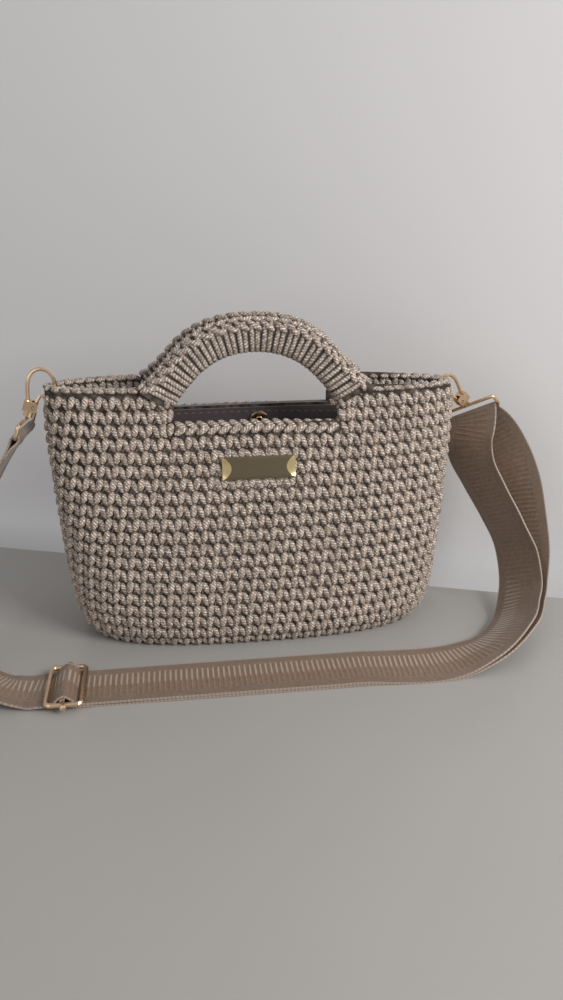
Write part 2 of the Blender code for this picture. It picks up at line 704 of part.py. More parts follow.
# The strap's route, chosen by hand. The x values are shares of LOOP_SWING beyond the ring's bar, the
# y values shares of STRAP_FRONT, the z values shares of the bar's height. The last three numbers are
# the way from the strap's inner edge to its outer edge.
RIGHT_BACK_LIMB = (
    # x, y, z, edge x, edge y, edge z
    (-0.55, -0.99, 0.013, 0.02, -1.00, 0.03),
    (-0.20, -0.94, 0.038, 0.10, -0.98, 0.22),
    (0.21, -0.76, 0.066, 0.30, -0.88, 0.40),
    (0.54, -0.47, 0.082, 0.45, -0.82, 0.42),
    (0.71, -0.25, 0.155, 0.55, -0.82, 0.25),
    (0.75, -0.14, 0.280, 0.70, -0.70, 0.10),
    (0.73, 0.01, 0.470, 0.80, -0.60, 0.15),
    (0.63, 0.10, 0.660, 0.82, -0.50, 0.30),
    (0.46, 0.18, 0.810, 0.80, -0.45, 0.42),
    (0.28, 0.22, 0.910, 0.76, -0.48, 0.45),
)
RIGHT_FRONT_LIMB = (
    (-0.07, 0.085, 0.950, 0.72, -0.52, 0.45),
    (-0.12, 0.045, 0.880, 0.66, -0.62, 0.36),
    (-0.08, 0.020, 0.800, 0.60, -0.72, 0.26),
    (0.11, -0.02, 0.660, 0.56, -0.78, 0.20),
    (0.38, -0.09, 0.480, 0.54, -0.80, 0.16),
    (0.59, -0.16, 0.310, 0.54, -0.82, 0.16),
    (0.60, -0.30, 0.170, 0.50, -0.82, 0.28),
    (0.45, -0.49, 0.104, 0.42, -0.83, 0.40),
    (0.16, -0.75, 0.084, 0.28, -0.88, 0.38),
    (-0.23, -0.93, 0.054, 0.10, -0.98, 0.20),
    (-0.56, -0.99, 0.026, 0.02, -1.00, 0.03),
)
LEFT_LIMB = (
    (-0.02, -0.99, 0.011, 0.00, -1.00, 0.02),
    (0.24, -0.98, 0.030, -0.06, -0.98, 0.12),
    (0.56, -0.88, 0.062, -0.18, -0.93, 0.28),
    (0.84, -0.66, 0.088, -0.30, -0.86, 0.38),
    (1.00, -0.40, 0.150, -0.32, -0.88, 0.30),
    (1.02, -0.20, 0.290, -0.28, -0.93, 0.16),
    (0.86, -0.09, 0.480, -0.24, -0.96, 0.06),
    (0.62, -0.04, 0.660, -0.20, -0.97, 0.02),
    (0.36, -0.01, 0.820, -0.18, -0.97, 0.00),
    (0.17, 0.00, 0.920, -0.16, -0.98, 0.00),
)


# The upper layer's way over the slider's bar: share of the slider's half length, share of the height.
SLIDER_HUMP = (
    (0.88, 0.00),
    (0.62, 0.10),
    (0.36, 0.58),
    (0.00, 1.00),
    (-0.36, 0.58),
    (-0.62, 0.10),
    (-0.88, 0.00),
)


def limb_points(rows, hook):
    """A limb's route in metres, from its shares and the hook's ring."""
    bar = hook.bar_centre()
    points = []
    for x, y, z, *edge in rows:
        place = (bar.x + hook.side * x * LOOP_SWING, y * STRAP_FRONT, z * bar.z)
        points.append([*place, *edge])
    return points


def turn_round_bar(hook, degrees, radius, leaving, behind):
    """Points of the strap round the ring's bar. Its two limbs leave the bar along the leaving way: the
    first, at 0 degrees, is on the side that behind gives, and the turn passes inside the ring."""
    centre = hook.bar_centre()
    leaving = (leaving - hook.bar * leaving.dot(hook.bar)).normalized()
    aside = hook.bar.cross(leaving)
    if aside.dot(behind) < 0:
        aside.negate()
    points = []
    for degree in degrees:
        angle = math.radians(degree)
        place = centre + radius * (math.cos(angle) * aside - math.sin(angle) * leaving)
        points.append([*place, *hook.bar])
    return points, leaving, aside


def strap_points():
    """The whole strap from its sewn end on the slider's bar, round the right ring, back through the
    slider and on to the left ring."""
    edge = (0.0, -1.0, 0.0)
    low, high = layer_height(0), layer_height(1)
    mid = slider_height()
    wrap = SLIDER_PIN_RADIUS + CLEARANCE + STRAP_THICKNESS / 2
    over = wrap + STRAP_THICKNESS + LAYER_GAP * 2
    front = -STRAP_FRONT
    half = SLIDER_LENGTH / 2
    straight_start = SLIDER_X + half * 1.25
    straight_length = RIGHT_HOOK.bar_centre().x - LOOP_SWING - straight_start
    points = []
    for degree in (65, 90, 130, 180, 230, 270):
        angle = math.radians(degree)
        x = SLIDER_X + wrap * math.cos(angle)
        points.append([x, front, mid + wrap * math.sin(angle), *edge])
    points.append([SLIDER_X + half * 0.62, front, low + (mid - wrap - low) * 0.25, *edge])
    for share in (0.0, 0.25, 0.5, 0.75):
        points.append([straight_start + share * straight_length, front, low, *edge])
    points += limb_points(RIGHT_BACK_LIMB, RIGHT_HOOK)
    radius = RING_WIRE_RADIUS + CLEARANCE + STRAP_THICKNESS / 2
    turn, leaving, aside = turn_round_bar(
        RIGHT_HOOK, (0, 45, 90, 115), radius, RIGHT_HOOK.axis, RIGHT_HOOK.ring_face
    )
    lead = RIGHT_HOOK.bar_centre() + leaving * SEWN_FOLD * 0.5 + aside * radius
    points.append([*lead, *RIGHT_HOOK.bar])
    points += turn
    points += limb_points(RIGHT_FRONT_LIMB, RIGHT_HOOK)
    for share in (0.75, 0.5, 0.25, 0.0):
        points.append([straight_start + share * straight_length, front, high, *edge])
    for share, lift in SLIDER_HUMP:
        points.append([SLIDER_X + half * share, front, high + (mid + over - high) * lift, *edge])
    points.append([SLIDER_X - half * 1.25, front, high, *edge])
    limb = limb_points(LEFT_LIMB, LEFT_HOOK)
    points += limb
    # The sewn fold: round the left ring's bar and back along the strap.
    leaving = Vector(limb[-1][:3]) - LEFT_HOOK.bar_centre()
    turn, leaving, aside = turn_round_bar(
        LEFT_HOOK, (0, 45, 90, 135, 180), radius, leaving, Vector((-1, 0, 0))
    )
    apart = aside * (STRAP_THICKNESS / 2 + LAYER_GAP)
    meet = LEFT_HOOK.bar_centre() + leaving * SEWN_FOLD * 0.5
    end = LEFT_HOOK.bar_centre() + leaving * SEWN_FOLD
    points.append([*(meet + apart), *LEFT_HOOK.bar])
    points += turn
    points.append([*(meet - apart), *LEFT_HOOK.bar])
    points.append([*(end - apart), *LEFT_HOOK.bar])
    return points


def make_strap(material):
    """The webbing strap: one flat ribbon laid along the route, its edges turned as the rows say."""
    route = smooth_route(strap_points(), STRAP_STEP)
    places = [Vector(point[:3]) for point in route]
    rings = []
    last = len(places) - 1
    for i, place in enumerate(places):
        along = (places[min(i + 1, last)] - places[max(i - 1, 0)]).normalized()
        edge = Vector(route[i][3:6])
        edge = (edge - along * edge.dot(along)).normalized()
        face = edge.cross(along)
        wide, thick = edge * STRAP_WIDTH / 2, face * STRAP_THICKNESS / 2
        rings.append([place + wide + thick, place - wide + thick, place - wide - thick, place + wide - thick])
    return add_object("strap", loft(rings), material)


RIGHT_HOOK = Hook(1, math.radians(7.0), RIGHT_HOOK_TILT, RIGHT_HOOK_SHIFT, RIGHT_HOOK_DROP, RIGHT_RING_SWIVEL)
LEFT_HOOK = Hook(-1, math.pi, 0.0, 0.0, 0.0, LEFT_RING_SWIVEL)


def main():
    """Builds every piece of the bag."""
    clear_scene()
    cord = principled("taupe_cord", (0.42, 0.35, 0.29), 0.75)
    felt = principled("lining_felt", (0.10, 0.075, 0.075), 0.95)
    gold = principled("light_gold", (0.80, 0.60, 0.42), 0.28, 1.0)
    brass = principled("plate_brass", (0.62, 0.47, 0.24), 0.30, 1.0)
    webbing = principled("satin_webbing", (0.30, 0.25, 0.21), 0.45)
    body = make_body(cord)
    make_lining(felt)
    make_handle("handle_front", -1, cord)
    make_handle("handle_back", 1, cord)
    make_plate(brass)
    make_snap("snap_back", 1, 1.0, gold)
    make_snap("snap_front", -1, -0.5, gold)
    for side, hook in (("left", LEFT_HOOK), ("right", RIGHT_HOOK)):
        hole = tube(hook.wire(GATE_RADIUS), HOOK_WIRE_RADIUS + HOOK_HOLE_CLEARANCE, WIRE_SIDES)
        combine(body, hole, "DIFFERENCE", side + "_hook_hole")
        make_hook(side + "_hook", hook, gold)
        make_gate(side + "_gate", hook, gold)
        make_ring(side + "_ring", hook, gold)
    make_slider(gold)
    make_strap(webbing)


main()
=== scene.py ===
# %% [markdown]
# # A crocheted crossbody bag
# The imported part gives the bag's true size: its shell, hand holds, lining, hooks, slider and strap.
# This scene adds what a smooth part can't show. Thick cord stands up in rows of stitches, the hand
# holds are wound and braided, and the strap is ribbed webbing with a pale edge.

import math

import bpy
from mathutils import Matrix, Vector
from mathutils.bvhtree import BVHTree


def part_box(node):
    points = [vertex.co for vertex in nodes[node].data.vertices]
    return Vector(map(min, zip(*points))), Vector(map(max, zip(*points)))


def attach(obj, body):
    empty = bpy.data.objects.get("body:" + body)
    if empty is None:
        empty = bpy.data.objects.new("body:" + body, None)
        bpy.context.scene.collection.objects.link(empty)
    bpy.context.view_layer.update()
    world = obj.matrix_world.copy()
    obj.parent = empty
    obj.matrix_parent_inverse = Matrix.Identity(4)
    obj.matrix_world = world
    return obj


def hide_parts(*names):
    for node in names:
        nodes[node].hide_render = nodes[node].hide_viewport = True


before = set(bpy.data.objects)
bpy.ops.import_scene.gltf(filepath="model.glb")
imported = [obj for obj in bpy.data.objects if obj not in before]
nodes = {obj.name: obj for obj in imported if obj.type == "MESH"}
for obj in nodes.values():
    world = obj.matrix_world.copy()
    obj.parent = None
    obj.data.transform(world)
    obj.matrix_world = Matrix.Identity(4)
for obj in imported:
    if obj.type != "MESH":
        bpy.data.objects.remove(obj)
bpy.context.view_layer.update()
MM = 0.001
print("nodes:", sorted(nodes))

# %% [markdown]
# ## Shaders
# Cord, webbing and felt are all made of small repeats, so each gets a node group that turns UVs or
# Object coordinates into a height and a mask. The material then mixes its own colours with the mask.


# %% Shader helpers
def new_group(name, inputs, outputs):
    """An empty node group with its sockets."""
    group = bpy.data.node_groups.new(name, "ShaderNodeTree")
    for label, kind, value in inputs:
        socket = group.interface.new_socket(label, in_out="INPUT", socket_type=kind)
        if value is not None:
            socket.default_value = value
    for label, kind in outputs:
        group.interface.new_socket(label, in_out="OUTPUT", socket_type=kind)
    start = group.nodes.new("NodeGroupInput")
    end = group.nodes.new("NodeGroupOutput")
    return group, start, end


def put(tree, socket, value):
    """Links a socket to another socket, or sets its value."""
    if isinstance(value, bpy.types.NodeSocket):
        tree.links.new(value, socket)
    else:
        socket.default_value = value


def calc(tree, operation, first, second=0.0, third=0.0):
    """One Math node's result."""
    node = tree.nodes.new("ShaderNodeMath")
    node.operation = operation
    for socket, value in zip(node.inputs, (first, second, third)):
        put(tree, socket, value)
    return node.outputs[0]


def noise(tree, vector, scale, detail=2.0):
    """One Noise node's value."""
    node = tree.nodes.new("ShaderNodeTexNoise")
    put(tree, node.inputs["Vector"], vector)
    node.inputs["Scale"].default_value = scale
    node.inputs["Detail"].default_value = detail
    return node.outputs["Fac"]


def between(tree, value, low, high):
    """A value stretched so that low gives 0 and high gives 1, and held there."""
    node = tree.nodes.new("ShaderNodeMapRange")
    put(tree, node.inputs["Value"], value)
    node.inputs["From Min"].default_value = low
    node.inputs["From Max"].default_value = high
    return node.outputs["Result"]


def mixed(tree, share, first, second):
    """Two colours mixed by a share."""
    node = tree.nodes.new("ShaderNodeMix")
    node.data_type = "RGBA"
    put(tree, node.inputs["Factor"], share)
    put(tree, node.inputs[6], first)
    put(tree, node.inputs[7], second)
    return node.outputs[2]


def new_material(name, roughness, metallic=0.0):
    """A material, its node tree and its Principled shader."""
    material = bpy.data.materials.new(name)
    material.use_nodes = True
    shader = material.node_tree.nodes["Principled BSDF"]
    shader.inputs["Roughness"].default_value = roughness
    shader.inputs["Metallic"].default_value = metallic
    return material, material.node_tree, shader


def use_bump(tree, shader, height, strength, distance):
    """Feeds a height into the shader's normal."""
    node = tree.nodes.new("ShaderNodeBump")
    node.inputs["Strength"].default_value = strength
    node.inputs["Distance"].default_value = distance
    put(tree, node.inputs["Height"], height)
    tree.links.new(node.outputs["Normal"], shader.inputs["Normal"])


# %% Braided yarn: crossing ribs round a strand
yarn, start, end = new_group(
    "braided_yarn",
    [
        ("Vector", "NodeSocketVector", None),
        ("Around", "NodeSocketFloat", 5.0),
        ("Along", "NodeSocketFloat", 9.0),
    ],
    [("Height", "NodeSocketFloat"), ("Glint", "NodeSocketFloat")],
)
parts = yarn.nodes.new("ShaderNodeSeparateXYZ")
yarn.links.new(start.outputs["Vector"], parts.inputs[0])
round_it = calc(yarn, "MULTIPLY", parts.outputs["X"], start.outputs["Around"])
down_it = calc(yarn, "MULTIPLY", parts.outputs["Y"], start.outputs["Along"])
ribs = []
for operation in ("ADD", "SUBTRACT"):
    slant = calc(yarn, operation, down_it, round_it)
    wave = calc(yarn, "SINE", calc(yarn, "MULTIPLY", slant, 2 * math.pi))
    ribs.append(calc(yarn, "MULTIPLY_ADD", wave, 0.5, 0.5))
height = calc(yarn, "MAXIMUM", ribs[0], ribs[1])
put(yarn, end.inputs["Height"], height)
# This mask places the painted satin highlight on the braid's ribs.
broken = calc(yarn, "MULTIPLY_ADD", ribs[1], 0.35, 0.65)
put(yarn, end.inputs["Glint"], calc(yarn, "MULTIPLY", ribs[0], broken))


# %% Cord, felt, webbing and metal
def cord_material(name, base, light, around, along):
    """Satin cord whose fine braid follows the strand, with a painted satin highlight on its ribs and painted
    shade where it sinks into the fabric.
    """
    material, tree, shader = new_material(name, 0.42)
    place = tree.nodes.new("ShaderNodeTexCoord")
    group = tree.nodes.new("ShaderNodeGroup")
    group.node_tree = yarn
    tree.links.new(place.outputs["UV"], group.inputs["Vector"])
    group.inputs["Around"].default_value = around
    group.inputs["Along"].default_value = along
    grain = between(tree, noise(tree, place.outputs["Object"], 620.0, 3.0), 0.40, 0.62)
    patches = between(tree, noise(tree, place.outputs["Object"], 150.0), 0.35, 0.65)
    wide = between(tree, noise(tree, place.outputs["Object"], 18.0), 0.3, 0.7)
    dark = tuple(c * 0.46 for c in base) + (1.0,)
    evenness = calc(tree, "MULTIPLY_ADD", patches, 0.35, calc(tree, "MULTIPLY", wide, 0.25))
    ground = mixed(tree, calc(tree, "MULTIPLY_ADD", grain, 0.40, evenness), dark, (*base, 1.0))
    # Painted satin highlight: the tops of the braid's ribs are mixed towards near white.
    rib_glint = calc(tree, "MULTIPLY", group.outputs["Glint"], calc(tree, "MULTIPLY_ADD", grain, 0.75, 0.12))
    rib_glint = between(tree, rib_glint, 0.10, 0.80)
    colour = mixed(tree, rib_glint, ground, (*light, 1.0))
    raised = tree.nodes.new("ShaderNodeAttribute")
    raised.attribute_name = "raised"
    # Painted shade: where a strand sinks into the fabric, its colour is darkened almost to black.
    crevice_shade_share = between(tree, raised.outputs["Fac"], 0.68, 0.30)
    painted_crevice_shade = tuple(c * 0.13 for c in base) + (1.0,)
    tree.links.new(mixed(tree, crevice_shade_share, colour, painted_crevice_shade), shader.inputs["Base Color"])
    shader.inputs["Sheen Weight"].default_value = 0.15
    shader.inputs["Sheen Roughness"].default_value = 0.4
    use_bump(tree, shader, group.outputs["Height"], 0.6, 0.0005)
    return material


CORD_BASE = (0.400, 0.308, 0.242)
# The paler colour below is the painted satin highlight on the braid's ribs.
CORD_GLINT = (0.960, 0.850, 0.750)
cord = cord_material("taupe_cord", CORD_BASE, CORD_GLINT, 4.0, 6.5)
wound_cord = cord_material("wound_cord", CORD_BASE, CORD_GLINT, 34.0, 2.0)

# The shell under the stitches is seen only in the crevices, in the base and inside the rim. It is painted
# near black as painted shade for those crevices, darkest between its knots.
shaded_backing, tree, shader = new_material("shaded_cord_backing", 0.85)
place = tree.nodes.new("ShaderNodeTexCoord")
knots = tree.nodes.new("ShaderNodeTexVoronoi")
knots.inputs["Scale"].default_value = 170.0
tree.links.new(place.outputs["Object"], knots.inputs["Vector"])
knot_mask = between(tree, knots.outputs["Distance"], 0.15, 0.75)
knot_shade_colour = mixed(tree, knot_mask, (0.12, 0.090, 0.068, 1.0), (0.025, 0.018, 0.014, 1.0))
tree.links.new(knot_shade_colour, shader.inputs["Base Color"])
use_bump(tree, shader, calc(tree, "SUBTRACT", 1.0, knots.outputs["Distance"]), 0.9, 0.0015)

felt, tree, shader = new_material("lining_felt", 0.95)
place = tree.nodes.new("ShaderNodeTexCoord")
fuzz = noise(tree, place.outputs["Object"], 900.0, 4.0)
fuzz_colour = mixed(tree, fuzz, (0.050, 0.036, 0.037, 1.0), (0.120, 0.090, 0.092, 1.0))
tree.links.new(fuzz_colour, shader.inputs["Base Color"])
shader.inputs["Sheen Weight"].default_value = 0.3
use_bump(tree, shader, fuzz, 0.5, 0.0005)


def metal_material(name, colour, roughness):
    """Plated metal with faint wear that changes how it shines."""
    material, tree, shader = new_material(name, roughness, 1.0)
    place = tree.nodes.new("ShaderNodeTexCoord")
    wear = between(tree, noise(tree, place.outputs["Object"], 260.0, 4.0), 0.3, 0.75)
    dull = tuple(c * 0.86 for c in colour) + (1.0,)
    tree.links.new(mixed(tree, wear, (*colour, 1.0), dull), shader.inputs["Base Color"])
    tree.links.new(calc(tree, "MULTIPLY_ADD", wear, 0.12, roughness - 0.04), shader.inputs["Roughness"])
    return material


gold = metal_material("light_gold", (0.830, 0.600, 0.400), 0.22)
plate_brass = metal_material("plate_brass", (0.250, 0.200, 0.130), 0.26)
# The plate's cut-back ends get a brighter gold as a painted reflection.
plate_end_glint = metal_material("plate_end_glint_gold", (0.900, 0.700, 0.360), 0.20)
print("materials:", len(bpy.data.materials))

# %% [markdown]
# ## Modelling helpers
# Each repeated shape is modelled once with Blender's own operators, and then copied to its places.
# A copy has a mesh of its own, and the copies of one row or band are joined into one piece.


# %% Modelling helpers
def only(obj):
    """Selects just this object."""
    bpy.ops.object.select_all(action="DESELECT")
    obj.select_set(True)
    bpy.context.view_layer.objects.active = obj


def settle(obj):
    """Bakes an object's place, turn and scale into its mesh."""
    only(obj)
    bpy.ops.object.transform_apply(location=True, rotation=True, scale=True)
    return obj


def join(objects, name):
    """Joins objects into the first of them."""
    bpy.ops.object.select_all(action="DESELECT")
    for obj in objects:
        obj.select_set(True)
    bpy.context.view_layer.objects.active = objects[0]
    if len(objects) > 1:
        bpy.ops.object.join()
    joined = bpy.context.view_layer.objects.active
    joined.name = name
    return settle(joined)


def dress(obj, material, body="bag"):
    """Gives a finished piece its material, its smooth shading and the body that it rides on."""
    obj.data.materials.clear()
    obj.data.materials.append(material)
    only(obj)
    bpy.ops.object.shade_smooth()
    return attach(obj, body)


def strand(width, depth, length, place, turn, top=1.0, bottom=1.0):
    """A short visible length of cord: a ball drawn out, with its upper and lower rings scaled."""
    bpy.ops.mesh.primitive_uv_sphere_add(segments=8, ring_count=6, radius=0.5)
    made = bpy.context.active_object
    for low, high, size in ((0.1, 0.49, top), (-0.49, -0.1, bottom)):
        bpy.ops.object.mode_set(mode="EDIT")
        bpy.ops.mesh.select_all(action="DESELECT")
        bpy.ops.object.mode_set(mode="OBJECT")
        for vertex in made.data.vertices:
            vertex.select = low < vertex.co.z < high
        bpy.ops.object.mode_set(mode="EDIT")
        bpy.ops.transform.resize(value=(size, size, 1.0), center_override=(0, 0, 0))
        bpy.ops.object.mode_set(mode="OBJECT")
    made.scale = (width, depth, length)
    made.rotation_euler = turn
    made.location = place
    return settle(made)


def mark_raised(obj, height_of):
    """Stores how far each point stands out of the fabric, from 0 at the wall to 1 outermost. The cord's
    material paints shade from it where the cord sinks in.
    """
    heights = [height_of(vertex.co) for vertex in obj.data.vertices]
    low, high = min(heights), max(heights)
    mark = obj.data.attributes.new("raised", "FLOAT", "POINT")
    for item, height in zip(mark.data, heights):
        item.value = (height - low) / (high - low)


def copies_at(name, template, matrices, material):
    """Copies a template to each matrix and joins the copies into one piece."""
    made = []
    for matrix in matrices:
        copy = template.copy()
        copy.data = template.data.copy()
        copy.matrix_world = matrix
        bpy.context.collection.objects.link(copy)
        made.append(copy)
    piece = join(made, name)
    return dress(piece, material)


def frame_at(place, across, outward, scale=(1.0, 1.0, 1.0)):
    """A matrix whose X runs along the row and whose -Y points outwards."""
    across = across.normalized()
    outward = (outward - across * outward.dot(across)).normalized()
    up = across.cross(-outward)
    turn = Matrix((across * scale[0], -outward * scale[1], up * scale[2])).transposed().to_4x4()
    return Matrix.Translation(place) @ turn


# %% [markdown]
# ## Reading the wall
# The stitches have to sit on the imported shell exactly. Rays cast inwards at one height find the
# outline there. Above the floor of the hand opening the rays would pass through it, so the outline is
# carried on upwards from the two outlines below.

# %% Outlines of the shell
RIM = 0.183
OPENING_FLOOR = 0.160
OPENING_HALF = 0.056
WALL = 0.0055
RIM_DROP = 0.005
RAYS = 240
body_tree = BVHTree.FromObject(nodes["bag_body"], bpy.context.evaluated_depsgraph_get())
HALF_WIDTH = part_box("bag_body")[1].x


def cast(z, angle):
    """Where a ray from outside meets the shell."""
    way = Vector((math.cos(angle), math.sin(angle), 0))
    hit = body_tree.ray_cast(way * 0.4 + Vector((0, 0, z)), -way, 0.4)[0]
    return hit


def raw_outline(z):
    """The shell's outline at one height, following the rim's droop at the right end."""
    points = []
    for k in range(RAYS):
        angle = 2 * math.pi * k / RAYS
        reach = HALF_WIDTH * max(0.0, math.cos(angle))
        low = z - RIM_DROP * (reach / HALF_WIDTH) ** 3 * (z / RIM) ** 4
        points.append(cast(low, angle))
    return points


def outline(z):
    """A smooth closed outline at one height, carried on past the hand opening."""
    safe = min(z, OPENING_FLOOR - 0.003)
    points = raw_outline(safe)
    if z > safe:
        lower = raw_outline(safe - 0.015)
        share = (z - safe) / 0.015
        carried = [p + (p - q) * share for p, q in zip(points, lower)]
        real = raw_outline(min(z, RIM - 0.003))
        points = []
        for guess, found in zip(carried, real):
            beside = abs(guess.x) > OPENING_HALF + 0.008
            near = found is not None and beside and (found - guess).length < 0.006
            points.append(Vector((found.x, found.y, guess.z)) if near else guess)
    for _ in range(3):
        points = [(points[k - 1] + 2 * points[k] + points[(k + 1) % RAYS]) / 4 for k in range(RAYS)]
    return points


def spaced(points, count, phase=0.0):
    """Places an equal way apart round a closed outline, each with its run and its outward way."""
    lengths = [0.0]
    for k in range(len(points)):
        lengths.append(lengths[-1] + (points[(k + 1) % len(points)] - points[k]).length)
    total = lengths[-1]
    places = []
    k = 0
    wanted = sorted(((i + phase) % count) / count * total for i in range(count))
    for want in wanted:
        while lengths[k + 1] < want:
            k += 1
        share = (want - lengths[k]) / (lengths[k + 1] - lengths[k])
        here, there = points[k], points[(k + 1) % len(points)]
        run = (points[(k + 2) % len(points)] - points[k - 1]).normalized()
        places.append((here.lerp(there, share), run))
    return places, total / count


print("rim outline:", round(sum((p - q).length for p, q in zip(outline(RIM), outline(RIM)[1:])), 3), "m")

# %% [markdown]
# ## The stitch
# One stitch shows four short lengths of cord. The right leg is upright, round at the top and
# pointed at the bottom. The left leg slants down to the right and tucks under it. A short loop slants
# across above them, from the row before, and another fills the corner below. Each is a ball drawn out.

# %% Model one stitch
deg = math.radians
right_leg = strand(
    5.0 * MM, 4.8 * MM, 9.4 * MM, (2.1 * MM, -0.9 * MM, 0.2 * MM), (deg(-21), deg(8), 0), 1.16, 0.95
)
left_leg = strand(
    4.7 * MM, 4.4 * MM, 10.0 * MM, (-2.4 * MM, -0.2 * MM, -0.9 * MM), (deg(-8), deg(-27), 0), 1.0, 1.1
)
top_loop = strand(3.6 * MM, 3.2 * MM, 7.2 * MM, (-1.0 * MM, 1.5 * MM, 3.9 * MM), (0, deg(-55), 0))
low_loop = strand(3.8 * MM, 3.4 * MM, 5.6 * MM, (-4.3 * MM, 1.3 * MM, -3.5 * MM), (0, deg(24), 0))
stitch = join([right_leg, left_leg, top_loop, low_loop], "stitch")
mark_raised(stitch, lambda place: -place.y)
print("stitch faces:", len(stitch.data.polygons))

# %% [markdown]
# ## Rows round the shell
# Crochet worked in the round leans: every row sits a little to the left of the one above. The rows
# keep the same number of stitches, so the stitches narrow with the bag towards its base.

# %% Rows of stitches
ROWS = 20
FIRST_ROW = 0.0050
LAST_ROW = 0.1760
STITCHES = 66
ROW_SHIFT = 0.14
PLATE_REACH = Vector((0.0285, 0.0115))
plate_height = sum(corner.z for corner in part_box("name_plate")) / 2
row_step = (LAST_ROW - FIRST_ROW) / (ROWS - 1)
placed = []
for row in range(ROWS):
    z = FIRST_ROW + row * row_step
    below, middle, above = outline(z - 0.003), outline(z), outline(z + 0.003)
    up_ways = [(a - b).normalized() for a, b in zip(above, below)]
    places, cell = spaced(middle, STITCHES, phase=ROW_SHIFT * row)
    for place, run in places:
        # A stitch that would reach into the hand opening moves up beside it, or is left out.
        reach_in = OPENING_HALF + cell / 2 - abs(place.x)
        if z + row_step / 2 > OPENING_FLOOR + 0.001 and reach_in > 0:
            if reach_in > cell * 0.8:
                continue
            place = place + run * math.copysign(reach_in, place.x * run.x)
        nearest = min(range(RAYS), key=lambda k: (middle[k] - place).length_squared)
        # Counter-clockwise run seen from above, so the outward way is run x up.
        outward = run.cross(up_ways[nearest])
        # The plate presses flat the stitches that it covers.
        covered = place.y < 0 and abs(place.x) < PLATE_REACH.x and abs(z - plate_height) < PLATE_REACH.y
        size = (cell / 0.0090, 0.3 if covered else 1.0, row_step / 0.0090)
        placed.append((row, frame_at(place, run, outward, size)))
for band in range(5):
    mats = [matrix for row, matrix in placed if row // 4 == band]
    copies_at(f"stitch_rows_{band + 1}", stitch, mats, cord)
print("stitches:", len(placed))

# %% Inner rows above the lining
inner = []
for row, z in enumerate((0.1625, 0.1710, 0.1785)):
    places, cell = spaced(outline(z), 62, phase=0.3 * row)
    for place, run in places:
        outward = run.cross(Vector((0, 0, 1)))
        if abs(place.x) < OPENING_HALF + 0.006:
            continue
        seat = place - outward * (WALL - 0.0002)
        inner.append(frame_at(seat, -run, -outward, (0.92, 0.45, 0.95)))
copies_at("inner_stitch_rows", stitch, inner, cord)
bpy.data.objects.remove(stitch)
print("inner stitches:", len(inner))

# %% [markdown]
# ## Braided edges
# The rim, the lower edge of the hand opening and the outer side of each hand hold all end in a chain
# of V stitches. It is made of one slanted strand in two lanes that lean towards each other.


# %% Chain of V stitches along a path
def chain(name, path, step, width, lean, lanes, thick=0.0040):
    """Slanted strands along a path of (place, run, face, side). Lanes give each lane's shift along
    the side, its lift along the face, and the sign of its lean."""
    template = strand(thick, thick * 0.9, width, (0, 0, 0), (0, math.radians(90), 0), 1.15, 1.15)
    mark_raised(template, lambda place: -place.y)
    matrices = []
    lengths = [0.0]
    for a, b in zip(path, path[1:]):
        lengths.append(lengths[-1] + (b[0] - a[0]).length)
    count = max(2, round(lengths[-1] / step))
    for shift, lift, sign in lanes:
        k = 0
        for i in range(count):
            want = (i + 0.5) / count * lengths[-1]
            while lengths[k + 1] < want:
                k += 1
            share = (want - lengths[k]) / (lengths[k + 1] - lengths[k])
            place, run, face, side = (a.lerp(b, share) for a, b in zip(path[k], path[k + 1]))
            run.normalize()
            face.normalize()
            side.normalize()
            centre = place + side * shift + face * lift
            slant = Matrix.Rotation(sign * lean, 3, face) @ run
            tilt = face + side * (0.35 * (1 if shift > 0 else -1))
            matrices.append(frame_at(centre, slant, tilt))
    piece = copies_at(name, template, matrices, cord)
    bpy.data.objects.remove(template)
    return piece


# %% Rim chain
top = outline(RIM)
rim_path = []
for k in range(RAYS + 1):
    place = top[k % RAYS]
    run = (top[(k + 1) % RAYS] - top[k % RAYS - 1]).normalized()
    outward = run.cross(Vector((0, 0, 1)))
    rim_path.append((place - outward * WALL / 2 + Vector((0, 0, 0.0002)), run, Vector((0, 0, 1)), outward))
two_lanes = ((1.7 * MM, 0.0, -1), (-1.7 * MM, 0.0, 1))
SEAT_HALF = 0.074
sections = []
current = []
for item in rim_path[RAYS // 8 :] + rim_path[1 : RAYS // 8 + 1]:
    if abs(item[0].x) > SEAT_HALF:
        current.append(item)
    elif current:
        sections.append(current)
        current = []
if current:
    sections.append(current)
for number, section in enumerate(sections):
    chain(f"rim_chain_{number + 1}", section, 7.4 * MM, 9.6 * MM, math.radians(27), two_lanes)

# %% Chains along the floor of each hand opening
edge_lanes = ((1.9 * MM, 0.1 * MM, 1), (-1.5 * MM, 0.5 * MM, -1))
# The chain's way from the wall's outer corner. The back chain lies lower, outside, where the
# lining's edge hides it from the front.
CHAIN_SEATS = (
    ("front", -1, Vector((0, 0.0010, -0.0018))),
    ("back", 1, Vector((0, 0.0010, -0.0035))),
)
for name, sign, seat in CHAIN_SEATS:
    floor = outline(OPENING_FLOOR)
    edge = sorted((p for p in floor if p.y * sign > 0 and abs(p.x) < OPENING_HALF + 0.001), key=lambda p: p.x)
    path = []
    for k, place in enumerate(edge):
        run = (edge[min(k + 1, len(edge) - 1)] - edge[max(k - 1, 0)]).normalized()
        face = Vector((0, sign, 1)).normalized()
        side = Vector((0, sign, -1)).normalized()
        path.append((place + seat, run, face, side))
    chain(f"{name}_opening_chain", path, 7.6 * MM, 11.0 * MM, math.radians(33 * -sign), edge_lanes, 0.0047)
print("chains:", len(sections) + 2)

# %% [markdown]
# ## Hand holds
# Each hand hold is a core wound with cord, with a braid along its outer side. The winding is one ring
# of cord, modelled once and set close together along the arch. The arch's shape is a short table.

